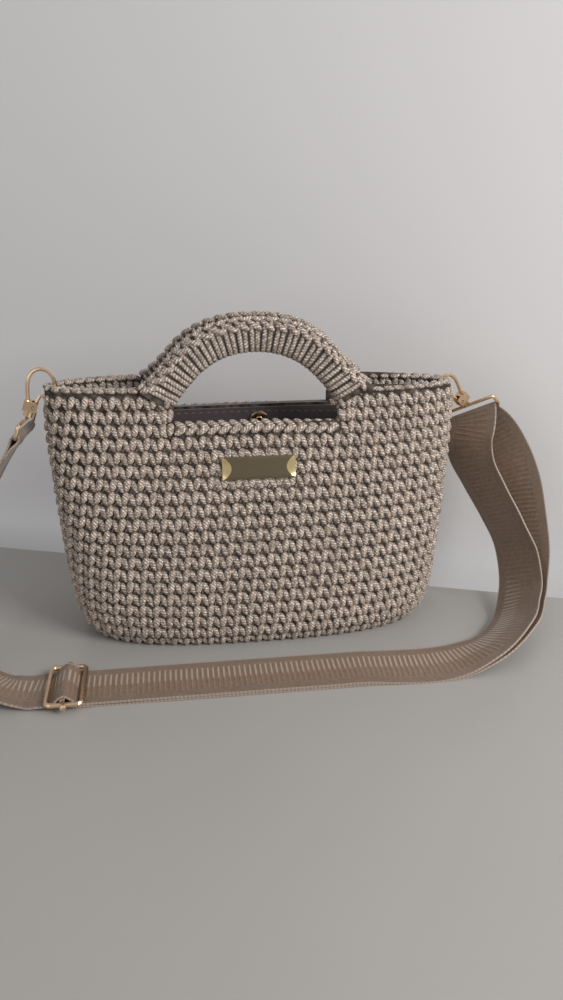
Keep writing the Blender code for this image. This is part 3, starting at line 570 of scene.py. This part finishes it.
# %% The arch
# Inner x and height, outer x and height, as shares of the opening's half width and the arch's height.
ARCH = (
    (1.000, 0.150, 1.393, 0.352),
    (0.955, 0.215, 1.320, 0.400),
    (0.880, 0.300, 1.205, 0.480),
    (0.785, 0.390, 1.075, 0.590),
    (0.640, 0.510, 0.875, 0.770),
    (0.465, 0.605, 0.625, 0.905),
    (0.240, 0.670, 0.320, 0.980),
    (0.000, 0.690, 0.000, 1.000),
)
ARCH_HEIGHT = 0.0663


def arch_stations(node):
    """Centre, radial reach and half depth along the arch, from the left seat to the right one."""
    hold = BVHTree.FromObject(node, bpy.context.evaluated_depsgraph_get())
    half = [(-a * OPENING_HALF, b * ARCH_HEIGHT, -c * OPENING_HALF, d * ARCH_HEIGHT) for a, b, c, d in ARCH]
    rows = half + [(-a, b, -c, d) for a, b, c, d in reversed(half[:-1])]
    fine = []
    for i in range(len(rows) - 1):
        before, here = rows[max(i - 1, 0)], rows[i]
        there, after = rows[i + 1], rows[min(i + 2, len(rows) - 1)]
        for j in range(8):
            t = j / 8
            values = []
            for p, q, r, s in zip(before, here, there, after):
                bend = (r - p) * t + (2 * p - 5 * q + 4 * r - s) * t**2 + (3 * q - p - 3 * r + s) * t**3
                values.append(q + bend / 2)
            fine.append(values)
    fine.append(rows[-1])
    stations = []
    for inner_x, inner_z, outer_x, outer_z in fine:
        x, z = (inner_x + outer_x) / 2, OPENING_FLOOR + (inner_z + outer_z) / 2
        front = hold.ray_cast(Vector((x, -0.2, z)), Vector((0, 1, 0)))[0]
        rear = hold.ray_cast(Vector((x, 0.2, z)), Vector((0, -1, 0)))[0]
        if front is None or rear is None:
            continue
        reach = Vector(((outer_x - inner_x) / 2, 0, (outer_z - inner_z) / 2))
        stations.append((Vector((x, (front.y + rear.y) / 2, z)), reach, (rear.y - front.y) / 2))
    return stations


def travelled(stations):
    """How far along the arch each station is."""
    lengths = [0.0]
    for a, b in zip(stations, stations[1:]):
        lengths.append(lengths[-1] + (b[0] - a[0]).length)
    return lengths


def station_at(stations, lengths, want):
    """Centre, reach, half depth and run at a length along the arch."""
    k = 0
    while k < len(lengths) - 2 and lengths[k + 1] < want:
        k += 1
    share = (want - lengths[k]) / (lengths[k + 1] - lengths[k])
    centre = stations[k][0].lerp(stations[k + 1][0], share)
    reach = stations[k][1].lerp(stations[k + 1][1], share)
    half_depth = stations[k][2] + (stations[k + 1][2] - stations[k][2]) * share
    run = (stations[k + 1][0] - stations[k][0]).normalized()
    return centre, reach, half_depth, run


# %% Model one ring of the winding
WRAPS = 38
RING_TUBE = 0.14
bpy.ops.mesh.primitive_torus_add(
    major_segments=24, minor_segments=8, major_radius=1 - RING_TUBE, minor_radius=RING_TUBE
)
ring = bpy.context.active_object
ring.name = "winding_ring"
# The hand hold's section is a rounded square, so the ring's four corners are moved out to it.
SQUARENESS = 3.2
for vertex in ring.data.vertices:
    angle = math.atan2(vertex.co.y, vertex.co.x)
    corner = (abs(math.cos(angle)) ** SQUARENESS + abs(math.sin(angle)) ** SQUARENESS) ** (-1 / SQUARENESS)
    vertex.co.x *= corner
    vertex.co.y *= corner
# The ring's sides, where one turn meets the next, get the cord's painted shade.
mark_raised(ring, lambda place: -abs(place.z))

# %% Wind and braid both hand holds
for name, side in (("front", -1), ("back", 1)):
    stations = arch_stations(nodes[f"handle_{name}"])
    lengths = travelled(stations)
    matrices = []
    for i in range(WRAPS):
        # Pairs of turns lie closer together than their neighbours.
        pair = 0.05 if i % 2 else -0.05
        want = (i + 0.9 - pair) / (WRAPS + 0.8) * lengths[-1]
        centre, reach, half_depth, run = station_at(stations, lengths, want)
        radial = reach.length + 0.0006
        depth = half_depth + 0.0009
        thick = 0.5 * lengths[-1] / WRAPS / RING_TUBE * 1.08
        out = reach.normalized()
        along = (run - out * run.dot(out)).normalized()
        across = along.cross(out)
        turn = Matrix((out * radial, across * depth, along * thick)).transposed().to_4x4()
        matrices.append(Matrix.Translation(centre) @ turn)
    copies_at(f"handle_winding_{name}", ring, matrices, wound_cord)
    for lane, (degrees, sign) in enumerate(((45, 1), (92, -1))):
        angle = math.radians(degrees)
        path = []
        for centre, reach, half_depth in stations[2:-2]:
            out = reach.normalized()
            front = Vector((0, side, 0))
            face = (out * math.sin(angle) + front * math.cos(angle)).normalized()
            place = centre + reach * math.sin(angle) + front * half_depth * 1.1 * math.cos(angle)
            path.append((place, face, out))
        full = []
        for k, (place, face, out) in enumerate(path):
            run = (path[min(k + 1, len(path) - 1)][0] - path[max(k - 1, 0)][0]).normalized()
            full.append((place, run, face, face.cross(run)))
        chain(
            f"handle_braid_{name}_{lane + 1}", full, 8.6 * MM, 12.2 * MM, math.radians(37),
            ((0.0, 0.7 * MM, sign * side),), 0.0043,
        )
bpy.data.objects.remove(ring)
print("hand holds wound")

# %% [markdown]
# ## Strap
# The webbing is modelled directly: a flat grid as long as the route, set along it, then given its
# thickness. Its route goes from the sewn end on the slider's bar, round the right ring, back through
# the slider and on to the left ring. The grid's UVs give the ribs their places.

# %% The strap's route
STRAP_WIDTH = 0.038
STRAP_THICK = 0.0013
STRAP_FRONT = 0.090
SWING = 0.055
LOW, HIGH = 0.00095, 0.00265
SLIDER = Vector((-0.1345, -0.090, 0.0051))
SLIDER_HALF = 0.013
TURN = 0.00225
RIGHT = dict(
    centre=Vector((0.16704, 0.01634, 0.14814)),
    bar=Vector((0.7283, -0.5054, 0.4637)),
    leaving=Vector((0.6478, 0.2841, -0.7071)),
    behind=Vector((0.2253, 0.8149, 0.5342)),
)
LEFT = dict(
    centre=Vector((-0.15830, 0.0, 0.15247)),
    bar=Vector((-0.1308, -0.9903, 0.0476)),
    behind=Vector((-1.0, 0.0, 0.0)),
)
# x in shares of the swing past the ring, y of the strap's distance in front, z of the ring's height,
# then the way from the inner edge to the outer one.
BACK_LIMB = (
    (-0.55, -0.99, 0.013, 0.02, -1.00, 0.03),
    (-0.20, -0.94, 0.038, 0.10, -0.98, 0.22),
    (0.21, -0.76, 0.066, 0.30, -0.88, 0.40),
    (0.54, -0.47, 0.082, 0.45, -0.82, 0.42),
    (0.71, -0.25, 0.155, 0.55, -0.82, 0.25),
    (0.75, -0.14, 0.280, 0.70, -0.70, 0.10),
    (0.73, 0.01, 0.470, 0.80, -0.60, 0.15),
    (0.63, 0.10, 0.660, 0.82, -0.50, 0.30),
    (0.46, 0.18, 0.810, 0.80, -0.45, 0.42),
    (0.28, 0.22, 0.910, 0.76, -0.48, 0.45),
)
FRONT_LIMB = (
    (-0.07, 0.085, 0.950, 0.72, -0.52, 0.45),
    (-0.12, 0.045, 0.880, 0.66, -0.62, 0.36),
    (-0.08, 0.020, 0.800, 0.60, -0.72, 0.26),
    (0.11, -0.02, 0.660, 0.56, -0.78, 0.20),
    (0.38, -0.09, 0.480, 0.54, -0.80, 0.16),
    (0.59, -0.16, 0.310, 0.54, -0.82, 0.16),
    (0.60, -0.30, 0.170, 0.50, -0.82, 0.28),
    (0.45, -0.49, 0.104, 0.42, -0.83, 0.40),
    (0.16, -0.75, 0.084, 0.28, -0.88, 0.38),
    (-0.23, -0.93, 0.054, 0.10, -0.98, 0.20),
    (-0.56, -0.99, 0.026, 0.02, -1.00, 0.03),
)
LEFT_LIMB = (
    (-0.02, -0.99, 0.011, 0.00, -1.00, 0.02),
    (0.24, -0.98, 0.030, -0.06, -0.98, 0.12),
    (0.56, -0.88, 0.062, -0.18, -0.93, 0.28),
    (0.84, -0.66, 0.088, -0.30, -0.86, 0.38),
    (1.00, -0.40, 0.150, -0.32, -0.88, 0.30),
    (1.02, -0.20, 0.290, -0.28, -0.93, 0.16),
    (0.86, -0.09, 0.480, -0.24, -0.96, 0.06),
    (0.62, -0.04, 0.660, -0.20, -0.97, 0.02),
    (0.36, -0.01, 0.820, -0.18, -0.97, 0.00),
    (0.17, 0.00, 0.920, -0.16, -0.98, 0.00),
)
HUMP = ((0.88, 0.0), (0.62, 0.10), (0.36, 0.58), (0.0, 1.0), (-0.36, 0.58), (-0.62, 0.10), (-0.88, 0.0))


def limb(rows, ring, side):
    """A limb's points from its shares."""
    centre = ring["centre"]
    return [
        [centre.x + side * x * SWING, y * STRAP_FRONT, z * centre.z, *edge]
        for x, y, z, *edge in rows
    ]


def round_bar(ring, leaving, degrees):
    """The turn round a ring's bar."""
    leaving = (leaving - ring["bar"] * leaving.dot(ring["bar"])).normalized()
    aside = ring["bar"].cross(leaving)
    if aside.dot(ring["behind"]) < 0:
        aside.negate()
    points = []
    for degree in degrees:
        angle = math.radians(degree)
        place = ring["centre"] + TURN * (math.cos(angle) * aside - math.sin(angle) * leaving)
        points.append([*place, *ring["bar"]])
    return points, leaving, aside


FLAT = (0.0, -1.0, 0.0)
wrap = 0.00245
route = []
for degree in (65, 90, 130, 180, 230, 270):
    angle = math.radians(degree)
    route.append([SLIDER.x + wrap * math.cos(angle), SLIDER.y, SLIDER.z + wrap * math.sin(angle), *FLAT])
straight_start = SLIDER.x + SLIDER_HALF * 1.25
straight_length = RIGHT["centre"].x - SWING - straight_start
route.append([SLIDER.x + SLIDER_HALF * 0.62, SLIDER.y, LOW + (SLIDER.z - wrap - LOW) * 0.25, *FLAT])
for share in (0.0, 0.25, 0.5, 0.75):
    route.append([straight_start + share * straight_length, SLIDER.y, LOW, *FLAT])
route += limb(BACK_LIMB, RIGHT, 1)
turn_points, leaving, aside = round_bar(RIGHT, RIGHT["leaving"], (0, 45, 90, 115))
route.append([*(RIGHT["centre"] + leaving * 0.008 + aside * TURN), *RIGHT["bar"]])
route += turn_points
route += limb(FRONT_LIMB, RIGHT, 1)
for share in (0.75, 0.5, 0.25, 0.0):
    route.append([straight_start + share * straight_length, SLIDER.y, HIGH, *FLAT])
for share, lift in HUMP:
    height = HIGH + (SLIDER.z + wrap + STRAP_THICK + 0.0008 - HIGH) * lift
    route.append([SLIDER.x + SLIDER_HALF * share, SLIDER.y, height, *FLAT])
route.append([SLIDER.x - SLIDER_HALF * 1.25, SLIDER.y, HIGH, *FLAT])
left_points = limb(LEFT_LIMB, LEFT, -1)
route += left_points
left_leaving = Vector(left_points[-1][:3]) - LEFT["centre"]
turn_points, leaving, aside = round_bar(LEFT, left_leaving, (0, 45, 90, 135, 180))
apart = aside * (STRAP_THICK / 2 + 0.0004)
route.append([*(LEFT["centre"] + leaving * 0.008 + apart), *LEFT["bar"]])
route += turn_points
route.append([*(LEFT["centre"] + leaving * 0.008 - apart), *LEFT["bar"]])
route.append([*(LEFT["centre"] + leaving * 0.016 - apart), *LEFT["bar"]])


def smooth_route(points, step):
    """Points about a step apart on one smooth curve through the route."""
    gaps = [math.dist(a[:3], b[:3]) for a, b in zip(points, points[1:])]
    slopes = [[(b[k] - a[k]) / gap for k in range(6)] for a, b, gap in zip(points, points[1:], gaps)]
    tangents = [slopes[0]]
    for i in range(1, len(points) - 1):
        near, far = gaps[i - 1], gaps[i]
        tangents.append([(slopes[i - 1][k] * far + slopes[i][k] * near) / (near + far) for k in range(6)])
    tangents.append(slopes[-1])
    smooth = []
    for i, gap in enumerate(gaps):
        count = max(1, round(gap / step))
        for j in range(count):
            t = j / count
            smooth.append(
                [
                    points[i][k] * (2 * t**3 - 3 * t**2 + 1)
                    + gap * tangents[i][k] * (t**3 - 2 * t**2 + t)
                    + points[i + 1][k] * (3 * t**2 - 2 * t**3)
                    + gap * tangents[i + 1][k] * (t**3 - t**2)
                    for k in range(6)
                ]
            )
    smooth.append(list(points[-1]))
    return smooth


fine_route = smooth_route(route, 0.003)
centres = [Vector(point[:3]) for point in fine_route]

# %% Lay a grid along the route
ACROSS = 8
bpy.ops.mesh.primitive_grid_add(x_subdivisions=len(fine_route) - 1, y_subdivisions=ACROSS, size=1.0)
strap = bpy.context.active_object
strap.name = "strap_webbing"
uv = strap.data.uv_layers.active.data
so_far = [0.0]
for a, b in zip(centres, centres[1:]):
    so_far.append(so_far[-1] + (b - a).length)
steps = len(fine_route) - 1
targets = []
for i in range(steps + 1):
    along = (centres[min(i + 1, steps)] - centres[max(i - 1, 0)]).normalized()
    edge = Vector(fine_route[i][3:6])
    edge = (edge - along * edge.dot(along)).normalized()
    targets.append((centres[i], edge))
column_of = {}
for vertex in strap.data.vertices:
    i = round((vertex.co.x + 0.5) * steps)
    across = vertex.co.y
    column_of[vertex.index] = (i, across)
    centre, edge = targets[i]
    vertex.co = centre + edge * (across * STRAP_WIDTH)
for loop in strap.data.loops:
    i, across = column_of[loop.vertex_index]
    # Metres along and across, so that the ribs keep their size.
    uv[loop.index].uv = (so_far[i], across * STRAP_WIDTH)
solidify = strap.modifiers.new("thickness", "SOLIDIFY")
solidify.thickness = STRAP_THICK
solidify.offset = 0.0
only(strap)
bpy.ops.object.modifier_apply(modifier="thickness")

# %% Webbing shader: cross ribs in the middle, twill at the sides, pale looped edges
webbing, tree, shader = new_material("satin_webbing", 0.36)
place = tree.nodes.new("ShaderNodeTexCoord")
parts = tree.nodes.new("ShaderNodeSeparateXYZ")
tree.links.new(place.outputs["UV"], parts.inputs[0])
along, across = parts.outputs["X"], parts.outputs["Y"]


def waves(value, pitch):
    """A value's even waves, from 0 to 1."""
    turns = calc(tree, "MULTIPLY", value, 2 * math.pi / pitch)
    return calc(tree, "MULTIPLY_ADD", calc(tree, "SINE", turns), 0.5, 0.5)


RIB_PITCH = 0.0036
TWILL_PITCH = 0.0012
EDGE_LOOP_PITCH = 0.0026
side_way = calc(tree, "ABSOLUTE", across)
spot = tree.nodes.new("ShaderNodeSeparateXYZ")
tree.links.new(place.outputs["Object"], spot.inputs[0])
high_up = spot.outputs["Z"]
ribs = between(tree, waves(along, RIB_PITCH), 0.45, 0.95)
twill = waves(calc(tree, "ADD", along, side_way), TWILL_PITCH)
in_middle = between(tree, side_way, 0.0128, 0.0112)
at_edge = between(tree, side_way, 0.0181, 0.0185)
outside = calc(tree, "SUBTRACT", 1.0, in_middle)
height = calc(tree, "ADD", calc(tree, "MULTIPLY", ribs, in_middle), calc(tree, "MULTIPLY", twill, outside))
grain = between(tree, noise(tree, place.outputs["Object"], 420.0, 3.0), 0.3, 0.7)
ground = mixed(tree, grain, (0.182, 0.122, 0.082, 1.0), (0.242, 0.166, 0.116, 1.0))
# Where the strap lies on the table, the ribs of its far half are lit: a painted highlight mixes them towards
# pale, and all other ribs get a faint painted highlight too.
lying = between(tree, high_up, 0.030, 0.012)
far_half = calc(tree, "MULTIPLY", between(tree, across, 0.002, -0.001), lying)
painted_rib_highlight = calc(tree, "MULTIPLY_ADD", calc(tree, "MULTIPLY", far_half, in_middle), 0.36, 0.05)
raised = mixed(tree, calc(tree, "MULTIPLY", height, painted_rib_highlight), ground, (0.72, 0.61, 0.53, 1.0))
loops = calc(tree, "MULTIPLY_ADD", waves(along, EDGE_LOOP_PITCH), 0.30, 0.22)
picot = calc(tree, "MULTIPLY", at_edge, loops)
tree.links.new(mixed(tree, picot, raised, (0.66, 0.56, 0.48, 1.0)), shader.inputs["Base Color"])
shader.inputs["Sheen Weight"].default_value = 0.12
shader.inputs["Sheen Tint"].default_value = (1.0, 0.90, 0.86, 1.0)
use_bump(tree, shader, height, 0.6, 0.0006)
dress(strap, webbing)
only(strap)
bpy.ops.object.shade_smooth_by_angle(angle=math.radians(40))
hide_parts("strap")

# %% [markdown]
# ## Name plate
# A bare plate of dark brass. Its two ends are cut back in a curve, and their cut faces take a brighter gold
# as a painted reflection, so each shows a bright crescent.
# It starts as a grid, and two of its columns are moved onto the curve.

# %% Plate
PLATE = (0.050, 0.0155, 0.0016)
low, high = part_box("name_plate")
plate_middle = (low + high) / 2
plate_lean = math.atan2((high.y - low.y) - PLATE[2], PLATE[1])
bpy.ops.mesh.primitive_grid_add(x_subdivisions=6, y_subdivisions=12, size=1.0)
plate = bpy.context.active_object
plate.name = "plate"
# Each column's share of the length from the middle, and how far it bows in at half height.
columns = {
    -3: (-0.5, 0.0),
    -2: (-0.486, 0.05),
    -1: (-0.478, 0.05),
    0: (0.0, 0.0),
    1: (0.478, 0.05),
    2: (0.486, 0.05),
    3: (0.5, 0.0),
}
# The end columns take the second, brighter gold, a painted reflection on the cut-back ends.
for polygon in plate.data.polygons:
    polygon.material_index = 1 if abs(polygon.center.x) * 6 > 2 else 0
for vertex in plate.data.vertices:
    column = round(vertex.co.x * 6)
    height = vertex.co.y * 2
    share, bow = columns[column]
    curve = math.copysign(bow * (1 - height**2) * 2.2, -share) if share else 0.0
    raised = PLATE[2] if abs(column) < 2 else (PLATE[2] * 0.98 if abs(column) == 2 else PLATE[2] * 0.35)
    soft = 0.25 * MM if abs(height) > 0.99 else 0.0
    vertex.co = Vector(((share + curve) * PLATE[0], -(raised - soft), vertex.co.y * PLATE[1]))
only(plate)
bpy.ops.object.mode_set(mode="EDIT")
bpy.ops.mesh.select_all(action="SELECT")
bpy.ops.mesh.extrude_region_move(TRANSFORM_OT_translate={"value": (0, 0, 0)})
bpy.ops.transform.resize(value=(1, 0, 1), center_override=(0, 0, 0))
bpy.ops.mesh.select_all(action="SELECT")
bpy.ops.mesh.normals_make_consistent(inside=False)
bpy.ops.object.mode_set(mode="OBJECT")
plate.rotation_euler = (-plate_lean, 0, 0)
plate.location = plate_middle + Vector((0, -0.0008, 0))
settle(plate)
plate.data.materials.append(plate_brass)
plate.data.materials.append(plate_end_glint)
only(plate)
bpy.ops.object.shade_smooth_by_angle(angle=math.radians(12))
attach(plate, "bag")
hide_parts("name_plate")

# %% [markdown]
# ## Sewing on the lining
# The felt is held by a line of short hand stitches near its top edge, seen through the opening.

# %% Lining stitches
lining_tree = BVHTree.FromObject(nodes["lining"], bpy.context.evaluated_depsgraph_get())
thread = strand(0.7 * MM, 0.6 * MM, 3.0 * MM, (0, 0, 0), (0, math.radians(90), 0))
matrices = []
for place, run in spaced(outline(0.1550), 110)[0]:
    outward = run.cross(Vector((0, 0, 1)))
    hit = lining_tree.ray_cast(place - outward * 0.018, outward, 0.02)[0]
    if hit is not None:
        matrices.append(frame_at(hit, -run, -outward))
thread_felt, tree, shader = new_material("lining_thread", 0.7)
place = tree.nodes.new("ShaderNodeTexCoord")
thread_grain = noise(tree, place.outputs["Object"], 700.0)
thread_colour = mixed(tree, thread_grain, (0.16, 0.12, 0.12, 1.0), (0.25, 0.19, 0.19, 1.0))
tree.links.new(thread_colour, shader.inputs["Base Color"])
copies_at("lining_sewing", thread, matrices, thread_felt)
bpy.data.objects.remove(thread)
print("lining stitches:", len(matrices))

# %% [markdown]
# ## Finishes of the imported pieces
# The imported metal parts already have their true shapes. A fine bevel softens their cut edges, so that
# the gold catches light as plated castings do.

# %% Carried-over pieces
# The shell and the hand holds' cores take the near-black backing, which is painted shade for the gaps between
# stitches and turns.
finishes = {"bag_body": shaded_backing, "handle_front": shaded_backing, "handle_back": shaded_backing, "lining": felt}
for name, node in nodes.items():
    if name in ("strap", "name_plate"):
        continue
    node.data.materials.clear()
    node.data.materials.append(finishes.get(name, gold))
# The felt is turned over the back wall's top inside the hand opening.
shell = nodes["bag_body"].data
shell.materials.append(felt)
for polygon in shell.polygons:
    middle = polygon.center
    on_floor = abs(middle.z - OPENING_FLOOR) < 0.0015 and polygon.normal.z > 0.7
    if on_floor and middle.y > 0 and abs(middle.x) < OPENING_HALF + 0.002:
        polygon.material_index = 1
for name in ("left_hook", "right_hook", "left_gate", "right_gate", "slider"):
    bevel = nodes[name].modifiers.new("soft_edges", "BEVEL")
    bevel.width = 0.3 * MM
    bevel.segments = 2
    bevel.limit_method = "ANGLE"
    bevel.angle_limit = math.radians(50)
    bevel.harden_normals = False

# %% [markdown]
# ## Surface, light and camera
# A pale table with a pale wall behind it, and one broad soft light from the upper right. The wall is
# clear from behind, so that the bag's back can be looked at too.

# %% Stage
bpy.ops.mesh.primitive_plane_add(size=1.0)
table = bpy.context.active_object
table.name = "table_top"
edge_left, edge_right = Vector((-0.2166, 0.1426, 0)), Vector((0.2442, -0.0113, 0))
along_edge = (edge_right - edge_left).normalized()
toward = Vector((along_edge.y, -along_edge.x, 0))
if toward.y > 0:
    toward.negate()
middle = (edge_left + edge_right) / 2
corners = [middle + along_edge * a + toward * b for a, b in ((-2, 0), (2, 0), (-2, 3), (2, 3))]
for vertex, corner in zip(table.data.vertices, corners):
    vertex.co = corner
pale, tree, shader = new_material("pale_table", 0.35)
place = tree.nodes.new("ShaderNodeTexCoord")
clouds = noise(tree, place.outputs["Object"], 3.0)
cloud_colour = mixed(tree, clouds, (0.345, 0.333, 0.315, 1.0), (0.395, 0.382, 0.362, 1.0))
tree.links.new(cloud_colour, shader.inputs["Base Color"])
table.data.materials.append(pale)
bpy.ops.mesh.primitive_plane_add(size=1.0)
wall = bpy.context.active_object
wall.name = "wall"
back = middle - toward * 0.06
corners = [back + along_edge * a + Vector((0, 0, z)) for a, z in ((-2, -0.6), (2, -0.6), (-2, 2.0), (2, 2.0))]
for vertex, corner in zip(wall.data.vertices, corners):
    vertex.co = corner
paint = bpy.data.materials.new("pale_wall")
paint.use_nodes = True
tree = paint.node_tree
shader = tree.nodes["Principled BSDF"]
shader.inputs["Base Color"].default_value = (0.68, 0.668, 0.664, 1.0)
shader.inputs["Roughness"].default_value = 0.9
clear = tree.nodes.new("ShaderNodeBsdfTransparent")
chosen = tree.nodes.new("ShaderNodeMixShader")
seen = tree.nodes.new("ShaderNodeNewGeometry")
tree.links.new(seen.outputs["Backfacing"], chosen.inputs["Fac"])
tree.links.new(shader.outputs[0], chosen.inputs[1])
tree.links.new(clear.outputs[0], chosen.inputs[2])
tree.links.new(chosen.outputs[0], tree.nodes["Material Output"].inputs["Surface"])
wall.data.materials.append(paint)
if wall.data.polygons[0].normal.dot(toward) < 0:
    only(wall)
    bpy.ops.object.mode_set(mode="EDIT")
    bpy.ops.mesh.select_all(action="SELECT")
    bpy.ops.mesh.flip_normals()
    bpy.ops.object.mode_set(mode="OBJECT")

# %% Light
world = bpy.data.worlds.new("soft_room")
bpy.context.scene.world = world
world.use_nodes = True
world.node_tree.nodes["Background"].inputs["Color"].default_value = (0.93, 0.93, 0.95, 1.0)
world.node_tree.nodes["Background"].inputs["Strength"].default_value = 0.47


def area_light(name, place, target, size, power, colour):
    """A square soft light aimed at a point."""
    bpy.ops.object.light_add(type="AREA", location=place)
    lamp = bpy.context.active_object
    lamp.name = name
    lamp.data.size = size
    lamp.data.energy = power
    lamp.data.color = colour
    lamp.rotation_euler = (Vector(target) - Vector(place)).to_track_quat("-Z", "Y").to_euler()


area_light("window", (0.90, -0.85, 0.80), (0, 0, 0.1), 0.6, 15.0, (1.0, 0.99, 0.98))
area_light("fill", (-0.9, -0.9, 0.6), (0, 0, 0.1), 1.0, 2.0, (0.97, 0.98, 1.0))

# %% Camera
camera_turn = (math.radians(67.4), 0, math.radians(-7.35))
bpy.ops.object.camera_add(location=(-0.0546, -0.5773, 0.3344), rotation=camera_turn)
camera = bpy.context.active_object
camera.data.lens = 30.8
camera.data.clip_start = 0.01
scene = bpy.context.scene
scene.camera = camera
scene.view_settings.view_transform = "Standard"
